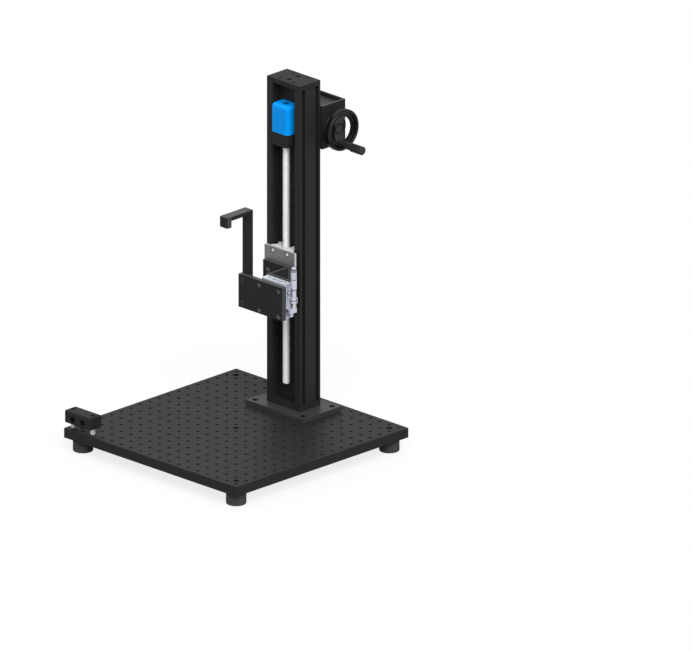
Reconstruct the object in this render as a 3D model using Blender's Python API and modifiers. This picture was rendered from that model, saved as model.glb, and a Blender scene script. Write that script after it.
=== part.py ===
"""Manual camera positioning stage.

A perforated base board stands on four feet and carries a slotted column. A crank
handwheel at the back turns a cross shaft through the column, the cross shaft turns a
lead screw in the front channel, and the screw lifts a carriage. The carriage holds a
bracket, a small micrometer stage, and the plate and hooked arm that carry a camera.

Lengths are metres. x runs to the right, y to the back and h upwards from the top face
of the board. The finished model stands on z = 0 with its box centred on x and y.
"""
import math

import bmesh
import bpy
from mathutils import Matrix, Vector
from mathutils.geometry import delaunay_2d_cdt

# Clearances
GAP = 0.0003
RUNNING = 0.0005

# Base board and its grid of tapped holes
BOARD_SIDE = 0.450
BOARD_THICKNESS = 0.019
BOARD_CORNER = 0.002
GRID_PITCH = 0.025
GRID_HOLE = 0.0064
SCREW_CLEARANCE = 0.0066
SCREW_HEAD = 0.0115
SCREW_HEAD_DEPTH = 0.0065
CORNER_STEPS = 2

# Feet
FOOT_DIAMETER = 0.038
FOOT_HEIGHT = 0.025
FOOT_ROUNDING = 0.002

# Column and its end plates
COLUMN_BACK_PITCHES = 6
COLUMN_WIDTH = 0.087
COLUMN_DEPTH = 0.053
COLUMN_LENGTH = 0.620
END_PLATE_THICKNESS = 0.010
FLANGE_WIDTH = 0.150
FLANGE_DEPTH = 0.100
FLANGE_THICKNESS = 0.010
FLANGE_BOLTS_WIDE = 5
FLANGE_BOLTS_DEEP = 3
CHANNEL_WIDTH = 0.0574
CHANNEL_DEPTH = 0.0199
LIP_DEPTH = 0.0087
GROOVE_WIDTH = 0.002
GROOVE_DEPTH = 0.0023
SLOT_OPENING = 0.008
SLOT_CHAMBER = 0.0124
SLOT_LIP = 0.0025
SLOT_DEPTH = 0.009
SLOT_TAPER = 0.0025
SLOT_INSET = 0.009
BACK_SLOT_SPACING = 0.044
CORE_WALL = 0.005
CORE_WIDTH = 0.056
CORE_DEPTH = 0.0145
END_SCREW_HOLE = 0.0055
END_SCREW_SPACING = 0.036
END_BOLT_HOLE = 0.0055
END_BOLT_HEAD = 0.009
END_BOLT_HEAD_DEPTH = 0.005
END_BOLT_SPACING = 0.023

# Lead screw and the gear head in the channel
SCREW_DIAMETER = 0.012
SCREW_INSET = 0.0075
SCREW_END_HEIGHT = 0.054
SCREW_JOURNAL = 0.008
SCREW_CHAMFER = 0.001
BEARING_OUTER = 0.022
BEARING_HEIGHT = 0.007
HEAD_WIDTH = 0.040
HEAD_PROUD = 0.0095
HEAD_BLOCK_HEIGHT = 0.025
HEAD_FLOOR = 0.003
HEAD_CHAMFER = 0.004
COVER_HEIGHT = 0.056
COVER_ROUNDING = 0.007
COVER_WALL = 0.0045
COVER_TOP = 0.009
COVER_HOLE = 0.013
COVER_HOLE_DEPTH = 0.004
COVER_DROP = 0.035

# Cross shaft, bevel gears and bushes
SHAFT_RISE = 0.002
SHAFT_DIAMETER = 0.006
BUSH_OUTER = 0.012
WHEEL_BUSH_OUTER = 0.016
GEAR_TEETH = 10
TOOTH_TIP_RISE = 0.75
TOOTH_ROOT_DROP = 1.15
TOOTH_TIP_SHARE = 0.10
TOOTH_ROOT_SHARE = 0.30
HEAD_GEAR_RADIUS = 0.008
HOUSING_GEAR_RADIUS = 0.015
GEAR_FACE = 0.4
GEAR_HUB_SHARE = 0.62
GEAR_HUB_LENGTH = 0.004
GEAR_ROOM = 0.010

# Gear housing behind the column
HOUSING_WIDTH = 0.0966
HOUSING_DEPTH = 0.0605
HOUSING_HEIGHT = 0.085
HOUSING_DROP = 0.037
HOUSING_WALL = 0.0065
HOUSING_RIM = 0.004
HOUSING_RECESS = 0.005
HOUSING_COVER = 0.005
DIAL_DIAMETER = 0.055
DIAL_THICKNESS = 0.0065
DIAL_STEP = 0.003
WHEEL_SHAFT_DIAMETER = 0.008

# Handwheel and its turning handle
WHEEL_DIAMETER = 0.080
WHEEL_RIM_RADIAL = 0.006
WHEEL_RIM_WIDTH = 0.011
WHEEL_RIM_OFFSET = 0.0155
WHEEL_WINDOW_RADIUS = 0.025
WHEEL_FLANGE_THICKNESS = 0.003
WHEEL_HUB_DIAMETER = 0.0195
WHEEL_HUB_WIDTH = 0.013
WHEEL_SPOKE_WIDTH = 0.022
WHEEL_SPOKE_THICKNESS = 0.004
HANDLE_RADIUS = 0.028
HANDLE_BOSS = 0.0125
HANDLE_NECK = 0.0085
HANDLE_SHANK = 0.0135
HANDLE_SHANK_LENGTH = 0.0205
HANDLE_PIN = 0.006
GRIP_DIAMETER = 0.0165
GRIP_LENGTH = 0.0285
GRIP_WALL = 0.004
GRIP_ROUNDING = 0.002

# Carriage
CARRIAGE_REST = 0.213
CARRIAGE_HEIGHT = 0.110
CARRIAGE_WAIST = 0.046
CARRIAGE_LAND = 0.002
CARRIAGE_NOTCH = 0.016
NOTCH_CHAMFER = 0.003
WAIST_STEPS = 6
WAIST_FULLNESS = 0.8
CARRIAGE_PLATE_WIDTH = 0.0788
CARRIAGE_PLATE_THICKNESS = 0.005
CARRIAGE_PLATE_PROUD = 0.0105
CARRIAGE_SCREW_SPACING = 0.037
CARRIAGE_SCREW_MARGIN = 0.0075
CARRIAGE_SCREW_HOLE = 0.005
CARRIAGE_SCREW_HEAD = 0.010
NUT_HEIGHT = 0.030

# Bracket between carriage and micrometer stage
BRACKET_REST = 0.228
BRACKET_HEIGHT = 0.069
BRACKET_BACK_WIDTH = 0.066
BRACKET_BACK_THICKNESS = 0.010
BRACKET_WEB_THICKNESS = 0.006
BRACKET_WEB_DEPTH = 0.043
BRACKET_FRONT_WIDTH = 0.065
BRACKET_FRONT_THICKNESS = 0.008
BRACKET_FRONT_SHORT = 0.001
BRACKET_BOLT_SPACING = 0.038
BRACKET_BOLT_MARGIN = 0.015

# Micrometer stage
STAGE_WIDTH = 0.060
STAGE_HEIGHT = 0.068
STAGE_BASE_THICKNESS = 0.0075
STAGE_PLATE_THICKNESS = 0.0073
STAGE_OFFSET = 0.061
TRACK_WIDTH = 0.0406
TRACK_DEPTH = 0.0048
RAIL_WIDTH = 0.006
FINE_TRAVEL = 0.0065
MICROMETER_OFFSET = 0.009
MICROMETER_INSET = 0.001
HOLDER_HEIGHT = 0.010
HOLDER_RISE = 0.031
HOLDER_WALL = 0.0024
HOLDER_CHEEK = 0.0056
SLEEVE_DIAMETER = 0.0085
SLEEVE_LENGTH = 0.033
THIMBLE_DIAMETER = 0.011
THIMBLE_LENGTH = 0.0384
THIMBLE_RISE = 0.0256
THIMBLE_WALL = 0.001
THIMBLE_BEVEL = 0.002
KNOB_DIAMETER = 0.008
KNOB_HEIGHT = 0.006
SPINDLE_DIAMETER = 0.004
ANVIL_HEIGHT = 0.009
ANVIL_RISE = 0.012
ANVIL_INSET = 0.001
LOCK_RISE = 0.049
LOCK_HEAD = 0.0055
LOCK_HEAD_LENGTH = 0.0027
LOCK_SHANK = 0.003

# Camera plate and hooked arm
PLATE_WIDTH = 0.1145
PLATE_HEIGHT = 0.065
PLATE_THICKNESS = 0.010
PLATE_LEFT = 0.020
PLATE_REST = 0.227
PLATE_BOLT_SPACING = 0.050
PLATE_BOLT_HEAD = 0.010
PLATE_BOLT_HEAD_DEPTH = 0.0055
PLATE_BOLT_HOLE = 0.0055
PLATE_BOLT_MARGIN = 0.0095
ARM_WIDTH = 0.020
ARM_THICKNESS = 0.008
ARM_TOP = 0.418
ARM_REACH = 0.0475
ARM_SCREW_MARGIN = 0.010
ARM_SCREW_SPACING = 0.007
ARM_SCREW_HOLE = 0.0042
HOOK_DROP = 0.021
HOOK_LAYER = 0.0057

# Corner block on the board
BLOCK_DEPTH = 0.030
BLOCK_HEIGHT = 0.025
BLOCK_OVERHANG = 0.0095
BLOCK_CHAMFER = 0.0022
BLOCK_SPAN_PITCHES = 2
BLOCK_CROSS_SPACING = 0.025
BLOCK_CROSS_RISE = 0.0105
POST_DIAMETER = 0.010
POST_HEIGHT = 0.012

# Facets round a full circle
FINE = 28
MEDIUM = 16
COARSE = 8
GRID_SIDES = 4

# Points closer than this are one, and edges that turn more than this stay sharp
SAME_POINT = 0.000001
SHARP_TURN = math.radians(40)
AXIS_MARK = 0.020

# Places worked out from the sizes above
BOARD_TOP = FOOT_HEIGHT + BOARD_THICKNESS
GRID_COUNT = int(BOARD_SIDE / GRID_PITCH + SAME_POINT)
GRID_EDGE = (GRID_COUNT - 1) * GRID_PITCH / 2
FOOT_OFFSET = GRID_EDGE - GRID_PITCH / 2
COLUMN_Y = COLUMN_BACK_PITCHES * GRID_PITCH
COLUMN_FRONT = COLUMN_Y - COLUMN_DEPTH / 2
COLUMN_BACK = COLUMN_Y + COLUMN_DEPTH / 2
COLUMN_FOOT = FLANGE_THICKNESS + END_PLATE_THICKNESS
COLUMN_TOP = COLUMN_FOOT + COLUMN_LENGTH
CHANNEL_BACK = COLUMN_FRONT + CHANNEL_DEPTH
CORE_FRONT = CHANNEL_BACK + CORE_WALL
CORE_BACK = CORE_FRONT + CORE_DEPTH
SCREW_Y = COLUMN_FRONT + SCREW_INSET
HEAD_FRONT = COLUMN_FRONT - HEAD_PROUD
COVER_TOP_H = COLUMN_TOP - COVER_DROP
BLOCK_TOP_H = COVER_TOP_H - COVER_HEIGHT
HEAD_BOTTOM = BLOCK_TOP_H - HEAD_BLOCK_HEIGHT
SHAFT_H = BLOCK_TOP_H + SHAFT_RISE
HOUSING_FRONT = COLUMN_BACK + GAP
HOUSING_BACK = COLUMN_BACK + HOUSING_DEPTH
HOUSING_BOTTOM = SHAFT_H - HOUSING_DROP
HOUSING_TOP = HOUSING_BOTTOM + HOUSING_HEIGHT
WHEEL_Y = (COLUMN_BACK + HOUSING_BACK) / 2
DIAL_FACE = HOUSING_WIDTH / 2 + GAP + DIAL_THICKNESS
HUB_INNER = DIAL_FACE + GAP
HUB_OUTER = HUB_INNER + WHEEL_HUB_WIDTH / 2
RIM_INNER_X = HOUSING_WIDTH / 2 + WHEEL_RIM_OFFSET
BOSS_FACE = RIM_INNER_X + WHEEL_SPOKE_THICKNESS + 2 * GAP
SHANK_START = RIM_INNER_X + WHEEL_RIM_WIDTH + GAP
HANDLE_H = SHAFT_H - HANDLE_RADIUS
PLATE_FRONT_Y = COLUMN_FRONT - CARRIAGE_PLATE_PROUD
PLATE_BACK_Y = PLATE_FRONT_Y + CARRIAGE_PLATE_THICKNESS
BRACKET_BACK_Y = PLATE_FRONT_Y - GAP
BRACKET_WEB_Y = BRACKET_BACK_Y - BRACKET_BACK_THICKNESS
BRACKET_FRONT_Y = BRACKET_WEB_Y - BRACKET_WEB_DEPTH
STAGE_BACK_Y = BRACKET_FRONT_Y - BRACKET_FRONT_THICKNESS - GAP
STAGE_SPLIT_Y = STAGE_BACK_Y - STAGE_BASE_THICKNESS
STAGE_FRONT_Y = STAGE_SPLIT_Y - RUNNING - STAGE_PLATE_THICKNESS
LOCK_Y = STAGE_SPLIT_Y + TRACK_DEPTH / 2
LOCK_H = BRACKET_REST + LOCK_RISE
STAGE_LEFT = STAGE_OFFSET - STAGE_WIDTH / 2
STAGE_RIGHT = STAGE_OFFSET + STAGE_WIDTH / 2
CAMERA_BACK_Y = STAGE_FRONT_Y - GAP
CAMERA_FRONT_Y = CAMERA_BACK_Y - PLATE_THICKNESS
MICROMETER_X = STAGE_RIGHT + MICROMETER_OFFSET
MICROMETER_Y = STAGE_BACK_Y - MICROMETER_INSET
HOLDER_LOW = BRACKET_REST + HOLDER_RISE
HOLDER_TOP = HOLDER_LOW + HOLDER_HEIGHT
THIMBLE_LOW = HOLDER_LOW + THIMBLE_RISE
THIMBLE_TOP = THIMBLE_LOW + THIMBLE_LENGTH
ANVIL_LOW = BRACKET_REST + ANVIL_RISE
ANVIL_TOP = ANVIL_LOW + ANVIL_HEIGHT
BLOCK_CENTRE = -GRID_EDGE + BLOCK_SPAN_PITCHES * GRID_PITCH / 2
MODEL_FRONT = min(-BOARD_SIDE / 2, -GRID_EDGE - BLOCK_DEPTH / 2)
MODEL_BACK = max(BOARD_SIDE / 2, HOUSING_BACK, WHEEL_Y + WHEEL_DIAMETER / 2)
ORIGIN = Vector((0, -(MODEL_FRONT + MODEL_BACK) / 2, BOARD_TOP))

PARTS = "camera_positioning_stage"
CUTTERS = "cutters"


def clear_scene():
    """Remove what a new file holds."""
    for item in list(bpy.data.objects):
        bpy.data.objects.remove(item, do_unlink=True)


def collection(name):
    """The named collection, made when it is first asked for."""
    found = bpy.data.collections.get(name)
    if found is None:
        found = bpy.data.collections.new(name)
        bpy.context.scene.collection.children.link(found)
    return found


def material(name, colour, roughness, metallic):
    """A Principled material with one colour, roughness and metallic value."""
    made = bpy.data.materials.get(name)
    if made is None:
        made = bpy.data.materials.new(name)
        made.use_nodes = True
        shader = made.node_tree.nodes["Principled BSDF"]
        shader.inputs["Base Color"].default_value = (*colour, 1)
        shader.inputs["Roughness"].default_value = roughness
        shader.inputs["Metallic"].default_value = metallic
    return made


def black_anodised():
    return material("black_anodised_aluminium", (0.028, 0.028, 0.030), 0.45, 0.6)


def grey_anodised():
    return material("grey_anodised_aluminium", (0.15, 0.15, 0.15), 0.42, 0.7)


def white_slider():
    return material("white_slider", (0.75, 0.75, 0.75), 0.4, 0.1)


def blue_cover():
    return material("blue_moulded_cover", (0.0, 0.22, 1.0), 0.35, 0.0)


def ground_steel():
    return material("ground_steel", (0.78, 0.78, 0.79), 0.2, 1.0)


def satin_alloy():
    return material("satin_alloy", (0.56, 0.58, 0.68), 0.3, 0.9)


def black_rubber():
    return material("black_rubber", (0.022, 0.022, 0.022), 0.8, 0.0)


def black_steel():
    return material("black_oxide_steel", (0.03, 0.03, 0.03), 0.5, 0.8)


def bronze():
    return material("sintered_bronze", (0.45, 0.28, 0.12), 0.4, 1.0)


def gear_steel():
    return material("gear_steel", (0.35, 0.35, 0.36), 0.35, 1.0)


def place_object(name, mesh, finish, centre):
    """Link a mesh as one piece of the stage, at a place measured from the board's top."""
    piece = bpy.data.objects.new(name, mesh)
    piece.location = ORIGIN + Vector(centre)
    collection(PARTS).objects.link(piece)
    mesh.materials.clear()
    mesh.materials.append(finish)
    return piece


def make_cutter(piece):
    """Turn a piece into a hidden tool body that only shapes other pieces."""
    for owner in list(piece.users_collection):
        owner.objects.unlink(piece)
    collection(CUTTERS).objects.link(piece)
    piece.hide_render = True
    piece.display_type = "WIRE"
    return piece


def combine(piece, tool, operation="DIFFERENCE"):
    """Cut or join a piece with a hidden tool body."""
    make_cutter(tool)
    change = piece.modifiers.new(tool.name, "BOOLEAN")
    change.operation = operation
    change.solver = "EXACT"
    change.object = tool
    return piece


def slab(name, finish, x, y, h):
    """A rectangular block between two values on each axis."""
    mesh = bpy.data.meshes.new(name)
    block = bmesh.new()
    bmesh.ops.create_cube(block, size=1)
    size = Vector((x[1] - x[0], y[1] - y[0], h[1] - h[0]))
    bmesh.ops.scale(block, vec=size, verts=block.verts)
    block.to_mesh(mesh)
    block.free()
    centre = ((x[0] + x[1]) / 2, (y[0] + y[1]) / 2, (h[0] + h[1]) / 2)
    return place_object(name, mesh, finish, centre)


def bevel_edges(piece, chosen, width, segments):
    """Round the edges that a test picks, in the piece's own mesh."""
    shape = bmesh.new()
    shape.from_mesh(piece.data)
    edges = [edge for edge in shape.edges if chosen(*[v.co for v in edge.verts])]
    bmesh.ops.bevel(
        shape, geom=edges, offset=width, segments=segments, profile=0.5, affect="EDGES")
    shape.to_mesh(piece.data)
    shape.free()


def circle(x, y, diameter, sides):
    """Corner points of a round outline."""
    step = 2 * math.pi / sides
    radius = diameter / 2
    angles = [step * (i + 0.5) for i in range(sides)]
    return [(x + radius * math.cos(angle), y + radius * math.sin(angle)) for angle in angles]


def rounded_rectangle(x, y, radius, steps):
    """Corner points of a rectangle with rounded corners."""
    corners = (
        (x[1] - radius, y[1] - radius, 0),
        (x[0] + radius, y[1] - radius, 90),
        (x[0] + radius, y[0] + radius, 180),
        (x[1] - radius, y[0] + radius, 270))
    points = []
    for centre_x, centre_y, start in corners:
        for i in range(steps + 1):
            angle = math.radians(start + 90 * i / steps)
            points.append((centre_x + radius * math.cos(angle), centre_y + radius * math.sin(angle)))
    return points


def extruded(name, finish, outline, low, high, upright=False):
    """A flat outline, given a thickness from low to high.

    A lying outline holds x and y and is thick along h. An upright one holds x and h
    and is thick along y.
    """
    curve = bpy.data.curves.new(name + "_outline", "CURVE")
    curve.dimensions = "2D"
    curve.fill_mode = "NONE"
    curve.extrude = (high - low) / 2
    spline = curve.splines.new("POLY")
    spline.points.add(len(outline) - 1)
    spline.use_cyclic_u = True
    for point, (across, along) in zip(spline.points, outline):
        point.co = (across, along, 0, 1)
    drawn = bpy.data.objects.new(name + "_outline", curve)
    collection(PARTS).objects.link(drawn)
    middle = (low + high) / 2
    if upright:
        drawn.rotation_euler = (math.pi / 2, 0, 0)
        drawn.location = ORIGIN + Vector((0, middle, 0))
    else:
        drawn.location = ORIGIN + Vector((0, 0, middle))
    bpy.context.view_layer.update()
    evaluated = drawn.evaluated_get(bpy.context.evaluated_depsgraph_get())
    mesh = bpy.data.meshes.new_from_object(evaluated)
    mesh.name = name
    weld(mesh)
    piece = place_object(name, mesh, finish, (0, 0, 0))
    piece.matrix_world = drawn.matrix_world.copy()
    bpy.data.objects.remove(drawn, do_unlink=True)
    bpy.data.curves.remove(curve)
    return piece


def perforated(name, finish, outline, holes, low, high):
    """A flat sheet with many holes, filled by a constrained triangulation and thickened."""
    loops = [outline] + holes
    points = [Vector(point) for loop in loops for point in loop]
    owners = [number for number, loop in enumerate(loops) for _ in loop]
    edges = []
    start = 0
    for loop in loops:
        ring = range(start, start + len(loop))
        edges += [(i, start + (i + 1 - start) % len(loop)) for i in ring]
        start += len(loop)
    inside_outline = 1
    corners, _, faces, sources, *_ = delaunay_2d_cdt(points, edges, [], inside_outline, SAME_POINT)
    shape = bmesh.new()
    verts = [shape.verts.new((*corner, low)) for corner in corners]
    sheet = []
    for face in faces:
        touched = {owners[sources[i][0]] for i in face}
        if len(touched) > 1 or touched == {0}:
            sheet.append(shape.faces.new([verts[i] for i in face]))
    raised = bmesh.ops.extrude_face_region(shape, geom=sheet, use_keep_orig=True)["geom"]
    upper = [item for item in raised if isinstance(item, bmesh.types.BMVert)]
    bmesh.ops.translate(shape, vec=(0, 0, high - low), verts=upper)
    bmesh.ops.recalc_face_normals(shape, faces=shape.faces)
    mesh = bpy.data.meshes.new(name)
    shape.to_mesh(mesh)
    shape.free()
    return place_object(name, mesh, finish, (0, 0, 0))


def weld(mesh):
    """Join points that lie on each other, close both ends and turn every face outwards."""
    shape = bmesh.new()
    shape.from_mesh(mesh)
    bmesh.ops.remove_doubles(shape, verts=shape.verts, dist=SAME_POINT)
    bmesh.ops.holes_fill(shape, edges=shape.edges)
    bmesh.ops.recalc_face_normals(shape, faces=shape.faces)
    shape.to_mesh(mesh)
    shape.free()


AXIS_TURNS = {
    "Z": Matrix.Identity(4),
    "X": Matrix.Rotation(math.pi / 2, 4, "Y"),
    "Y": Matrix.Rotation(-math.pi / 2, 4, "X"),
}


def turned(name, finish, profile, centre, axis="Z", sides=MEDIUM, ring=False):
    """A turned piece from (radius, along) points that run from the far end to the near end.

    A solid starts and ends on the axis. A ring's profile is closed, outer side first.
    """
    mesh = bpy.data.meshes.new(name)
    shape = bmesh.new()
    verts = [shape.verts.new((radius, 0, along)) for radius, along in profile]
    for first, second in zip(verts, verts[1:]):
        shape.edges.new((first, second))
    if ring:
        shape.edges.new((verts[-1], verts[0]))
    shape.to_mesh(mesh)
    shape.free()
    piece = place_object(name, mesh, finish, centre)
    piece.rotation_euler = AXIS_TURNS[axis].to_euler()
    screw = piece.modifiers.new("turned", "SCREW")
    screw.axis = "Z"
    screw.angle = 2 * math.pi
    screw.steps = sides
    screw.render_steps = sides
    screw.use_merge_vertices = True
    screw.merge_threshold = SAME_POINT
    screw.use_smooth_shade = False
    return piece


def rod(name, finish, diameter, low, high, centre, axis="Z", sides=MEDIUM, chamfer=0.0):
    """A round bar along an axis, with an optional chamfer at both ends."""
    radius = diameter / 2
    profile = [(0, high), (radius - chamfer, high)]
    if chamfer:
        profile += [(radius, high - chamfer), (radius, low + chamfer)]
    profile += [(radius - chamfer, low), (0, low)]
    return turned(name, finish, profile, centre, axis, sides)


def tube(name, finish, outer, inner, low, high, centre, axis="Z", sides=MEDIUM):
    """A plain ring or sleeve along an axis."""
    profile = [(outer / 2, high), (outer / 2, low), (inner / 2, low), (inner / 2, high)]
    return turned(name, finish, profile, centre, axis, sides, ring=True)


def clear_bore(diameter, sides):
    """A bore's diameter over its corners, so that its flats clear a round bar."""
    return (diameter + 2 * GAP) / math.cos(math.pi / sides)


def drills(name, places, diameter, low, high, axis="Z", sides=COARSE):
    """One tool body with a round pin at each place."""
    mesh = bpy.data.meshes.new(name)
    shape = bmesh.new()
    start = Matrix.Rotation(math.pi / sides, 4, "Z")
    for place in places:
        moved = Matrix.Translation(Vector(place)) @ AXIS_TURNS[axis]
        along = Matrix.Translation(Vector((0, 0, (low + high) / 2)))
        bmesh.ops.create_cone(
            shape, cap_ends=True, segments=sides, radius1=diameter / 2, radius2=diameter / 2,
            depth=high - low, matrix=moved @ along @ start)
    shape.to_mesh(mesh)
    shape.free()
    return place_object(name, mesh, black_steel(), (0, 0, 0))


def drill(piece, name, places, diameter, span, axis="Z", sides=COARSE):
    """Cut one round hole at each place, between two values along the axis."""
    return combine(piece, drills(name, places, diameter, span[0], span[1], axis, sides))


def ride(joint_name, centre, pieces):
    """Hang pieces on an empty that stands on their joint's axis."""
    hinge = bpy.data.objects.new(joint_name, None)
    hinge.location = ORIGIN + Vector(centre)
    hinge.empty_display_size = AXIS_MARK
    collection(PARTS).objects.link(hinge)
    bpy.context.view_layer.update()
    for piece in pieces:
        piece.parent = hinge
        piece.matrix_parent_inverse = hinge.matrix_world.inverted()
    return hinge


def grid_places():
    """Centres of the tapped holes in the board."""
    steps = [-GRID_EDGE + GRID_PITCH * i for i in range(GRID_COUNT)]
    return [(x, y) for x in steps for y in steps]


def foot_places():
    """Centres of the four feet, between the outer holes of the grid."""
    return [(x, y) for x in (-FOOT_OFFSET, FOOT_OFFSET) for y in (-FOOT_OFFSET, FOOT_OFFSET)]


def make_board():
    """The perforated board, with sunk holes over the feet and one in the middle."""
    half = BOARD_SIDE / 2
    outline = rounded_rectangle((-half, half), (-half, half), BOARD_CORNER, CORNER_STEPS)
    sunk = foot_places() + [(0, 0)]
    holes = [circle(x, y, GRID_HOLE, GRID_SIDES) for x, y in grid_places()]
    holes += [circle(x, y, SCREW_CLEARANCE, COARSE) for x, y in sunk]
    board = perforated("breadboard", black_anodised(), outline, holes, -BOARD_THICKNESS, 0)
    pins = [(x, y, 0) for x, y in sunk]
    drill(board, "foot_screw_sinks", pins, SCREW_HEAD, (-SCREW_HEAD_DEPTH, SCREW_HEAD_DEPTH))


def make_feet():
    """Four turned rubber feet under the board."""
    names = ("foot_front_left", "foot_back_left", "foot_front_right", "foot_back_right")
    radius = FOOT_DIAMETER / 2
    halfway = FOOT_ROUNDING * (1 - math.cos(math.pi / 4))
    for name, (x, y) in zip(names, foot_places()):
        profile = [
            (0, FOOT_HEIGHT - GAP), (radius, FOOT_HEIGHT - GAP), (radius, FOOT_ROUNDING),
            (radius - halfway, halfway), (radius - FOOT_ROUNDING, 0), (0, 0)]
        turned(name, black_rubber(), profile, (x, y, -BOARD_TOP), sides=MEDIUM)


def make_flange():
    """The wide plate that is bolted to the board's grid under the column."""
    across = FLANGE_BOLTS_WIDE * GRID_PITCH / 2
    along = FLANGE_BOLTS_DEEP * GRID_PITCH / 2
    bolts = [(x, COLUMN_Y + y, 0) for x in (-across, across) for y in (-along, along)]
    x = (-FLANGE_WIDTH / 2, FLANGE_WIDTH / 2)
    y = (COLUMN_Y - FLANGE_DEPTH / 2, COLUMN_Y + FLANGE_DEPTH / 2)
    outline = rounded_rectangle(x, y, BOARD_CORNER, CORNER_STEPS)
    flange = extruded("column_flange", grey_anodised(), outline, GAP, FLANGE_THICKNESS)
    past = FLANGE_THICKNESS + SCREW_HEAD_DEPTH
    drill(flange, "flange_holes", bolts, SCREW_CLEARANCE, (-past, past))
    drill(flange, "flange_sinks", bolts, SCREW_HEAD, (FLANGE_THICKNESS - SCREW_HEAD_DEPTH, past))


def make_end_plate(name, low, high):
    """A plate the size of the column, with four small holes and two sunk bolt holes."""
    small = END_SCREW_SPACING / 2
    big = END_BOLT_SPACING / 2
    x = (-COLUMN_WIDTH / 2, COLUMN_WIDTH / 2)
    plate = slab(name, black_anodised(), x, (COLUMN_FRONT, COLUMN_BACK), (low + GAP, high))
    screws = [(a, COLUMN_Y + b, 0) for a in (-small, small) for b in (-small, small)]
    bolts = [(0, COLUMN_Y - big, 0), (0, COLUMN_Y + big, 0)]
    past = high + END_BOLT_HEAD_DEPTH
    drill(plate, name + "_screw_holes", screws, END_SCREW_HOLE, (low - END_BOLT_HEAD_DEPTH, past))
    drill(plate, name + "_bolt_holes", bolts, END_BOLT_HOLE, (low - END_BOLT_HEAD_DEPTH, past))
    drill(plate, name + "_sinks", bolts, END_BOLT_HEAD, (high - END_BOLT_HEAD_DEPTH, past))


def slot_points(face, middle, inward, forward):
    """A T-slot in a face, from the side that is met first to the other side.

    face is the face's place across, middle the slot's centre along the face, inward
    the sign that leads into the metal, and forward the sign of travel along the face.
    """
    mouth = SLOT_OPENING / 2 * forward
    chamber = SLOT_CHAMBER / 2 * forward
    floor = chamber - SLOT_TAPER * forward
    lip = face + SLOT_LIP * inward
    shoulder = face + (SLOT_DEPTH - SLOT_TAPER) * inward
    deep = face + SLOT_DEPTH * inward
    return [
        (face, middle - mouth), (lip, middle - mouth), (lip, middle - chamber),
        (shoulder, middle - chamber), (deep, middle - floor), (deep, middle + floor),
        (shoulder, middle + chamber), (lip, middle + chamber), (lip, middle + mouth),
        (face, middle + mouth)]


def column_outline():
    """The column's section: a front channel with grooved lips, and T-slots around."""
    side = COLUMN_WIDTH / 2
    wall = CHANNEL_WIDTH / 2
    lip = COLUMN_FRONT + LIP_DEPTH
    half = [(wall, CHANNEL_BACK), (wall, lip + GROOVE_WIDTH), (wall + GROOVE_DEPTH, lip + GROOVE_WIDTH)]
    half += [(wall + GROOVE_DEPTH, lip), (wall, lip), (wall, COLUMN_FRONT), (side, COLUMN_FRONT)]
    half += slot_points(side, COLUMN_FRONT + SLOT_INSET, -1, 1)
    half += slot_points(side, COLUMN_BACK - SLOT_INSET, -1, 1)
    half += [(side, COLUMN_BACK)]
    back = slot_points(COLUMN_BACK, BACK_SLOT_SPACING / 2, -1, -1)
    half += [(across, along) for along, across in back]
    mirrored = [(-x, y) for x, y in reversed(half)]
    return half + mirrored


def make_column():
    """The slotted column, with a hollow core and a cross bore for the shaft."""
    column = extruded(
        "column_extrusion", black_anodised(), column_outline(), COLUMN_FOOT + GAP, COLUMN_TOP)
    core = slab(
        "column_core", black_steel(), (-CORE_WIDTH / 2, CORE_WIDTH / 2), (CORE_FRONT, CORE_BACK),
        (COLUMN_FOOT - CORE_WALL, COLUMN_TOP + CORE_WALL))
    combine(column, core)
    middle = [(0, COLUMN_Y, SHAFT_H)]
    span = (-COLUMN_DEPTH, COLUMN_DEPTH)
    drill(column, "column_cross_bore", middle, BUSH_OUTER + 2 * GAP, span, "Y", MEDIUM)


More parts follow.
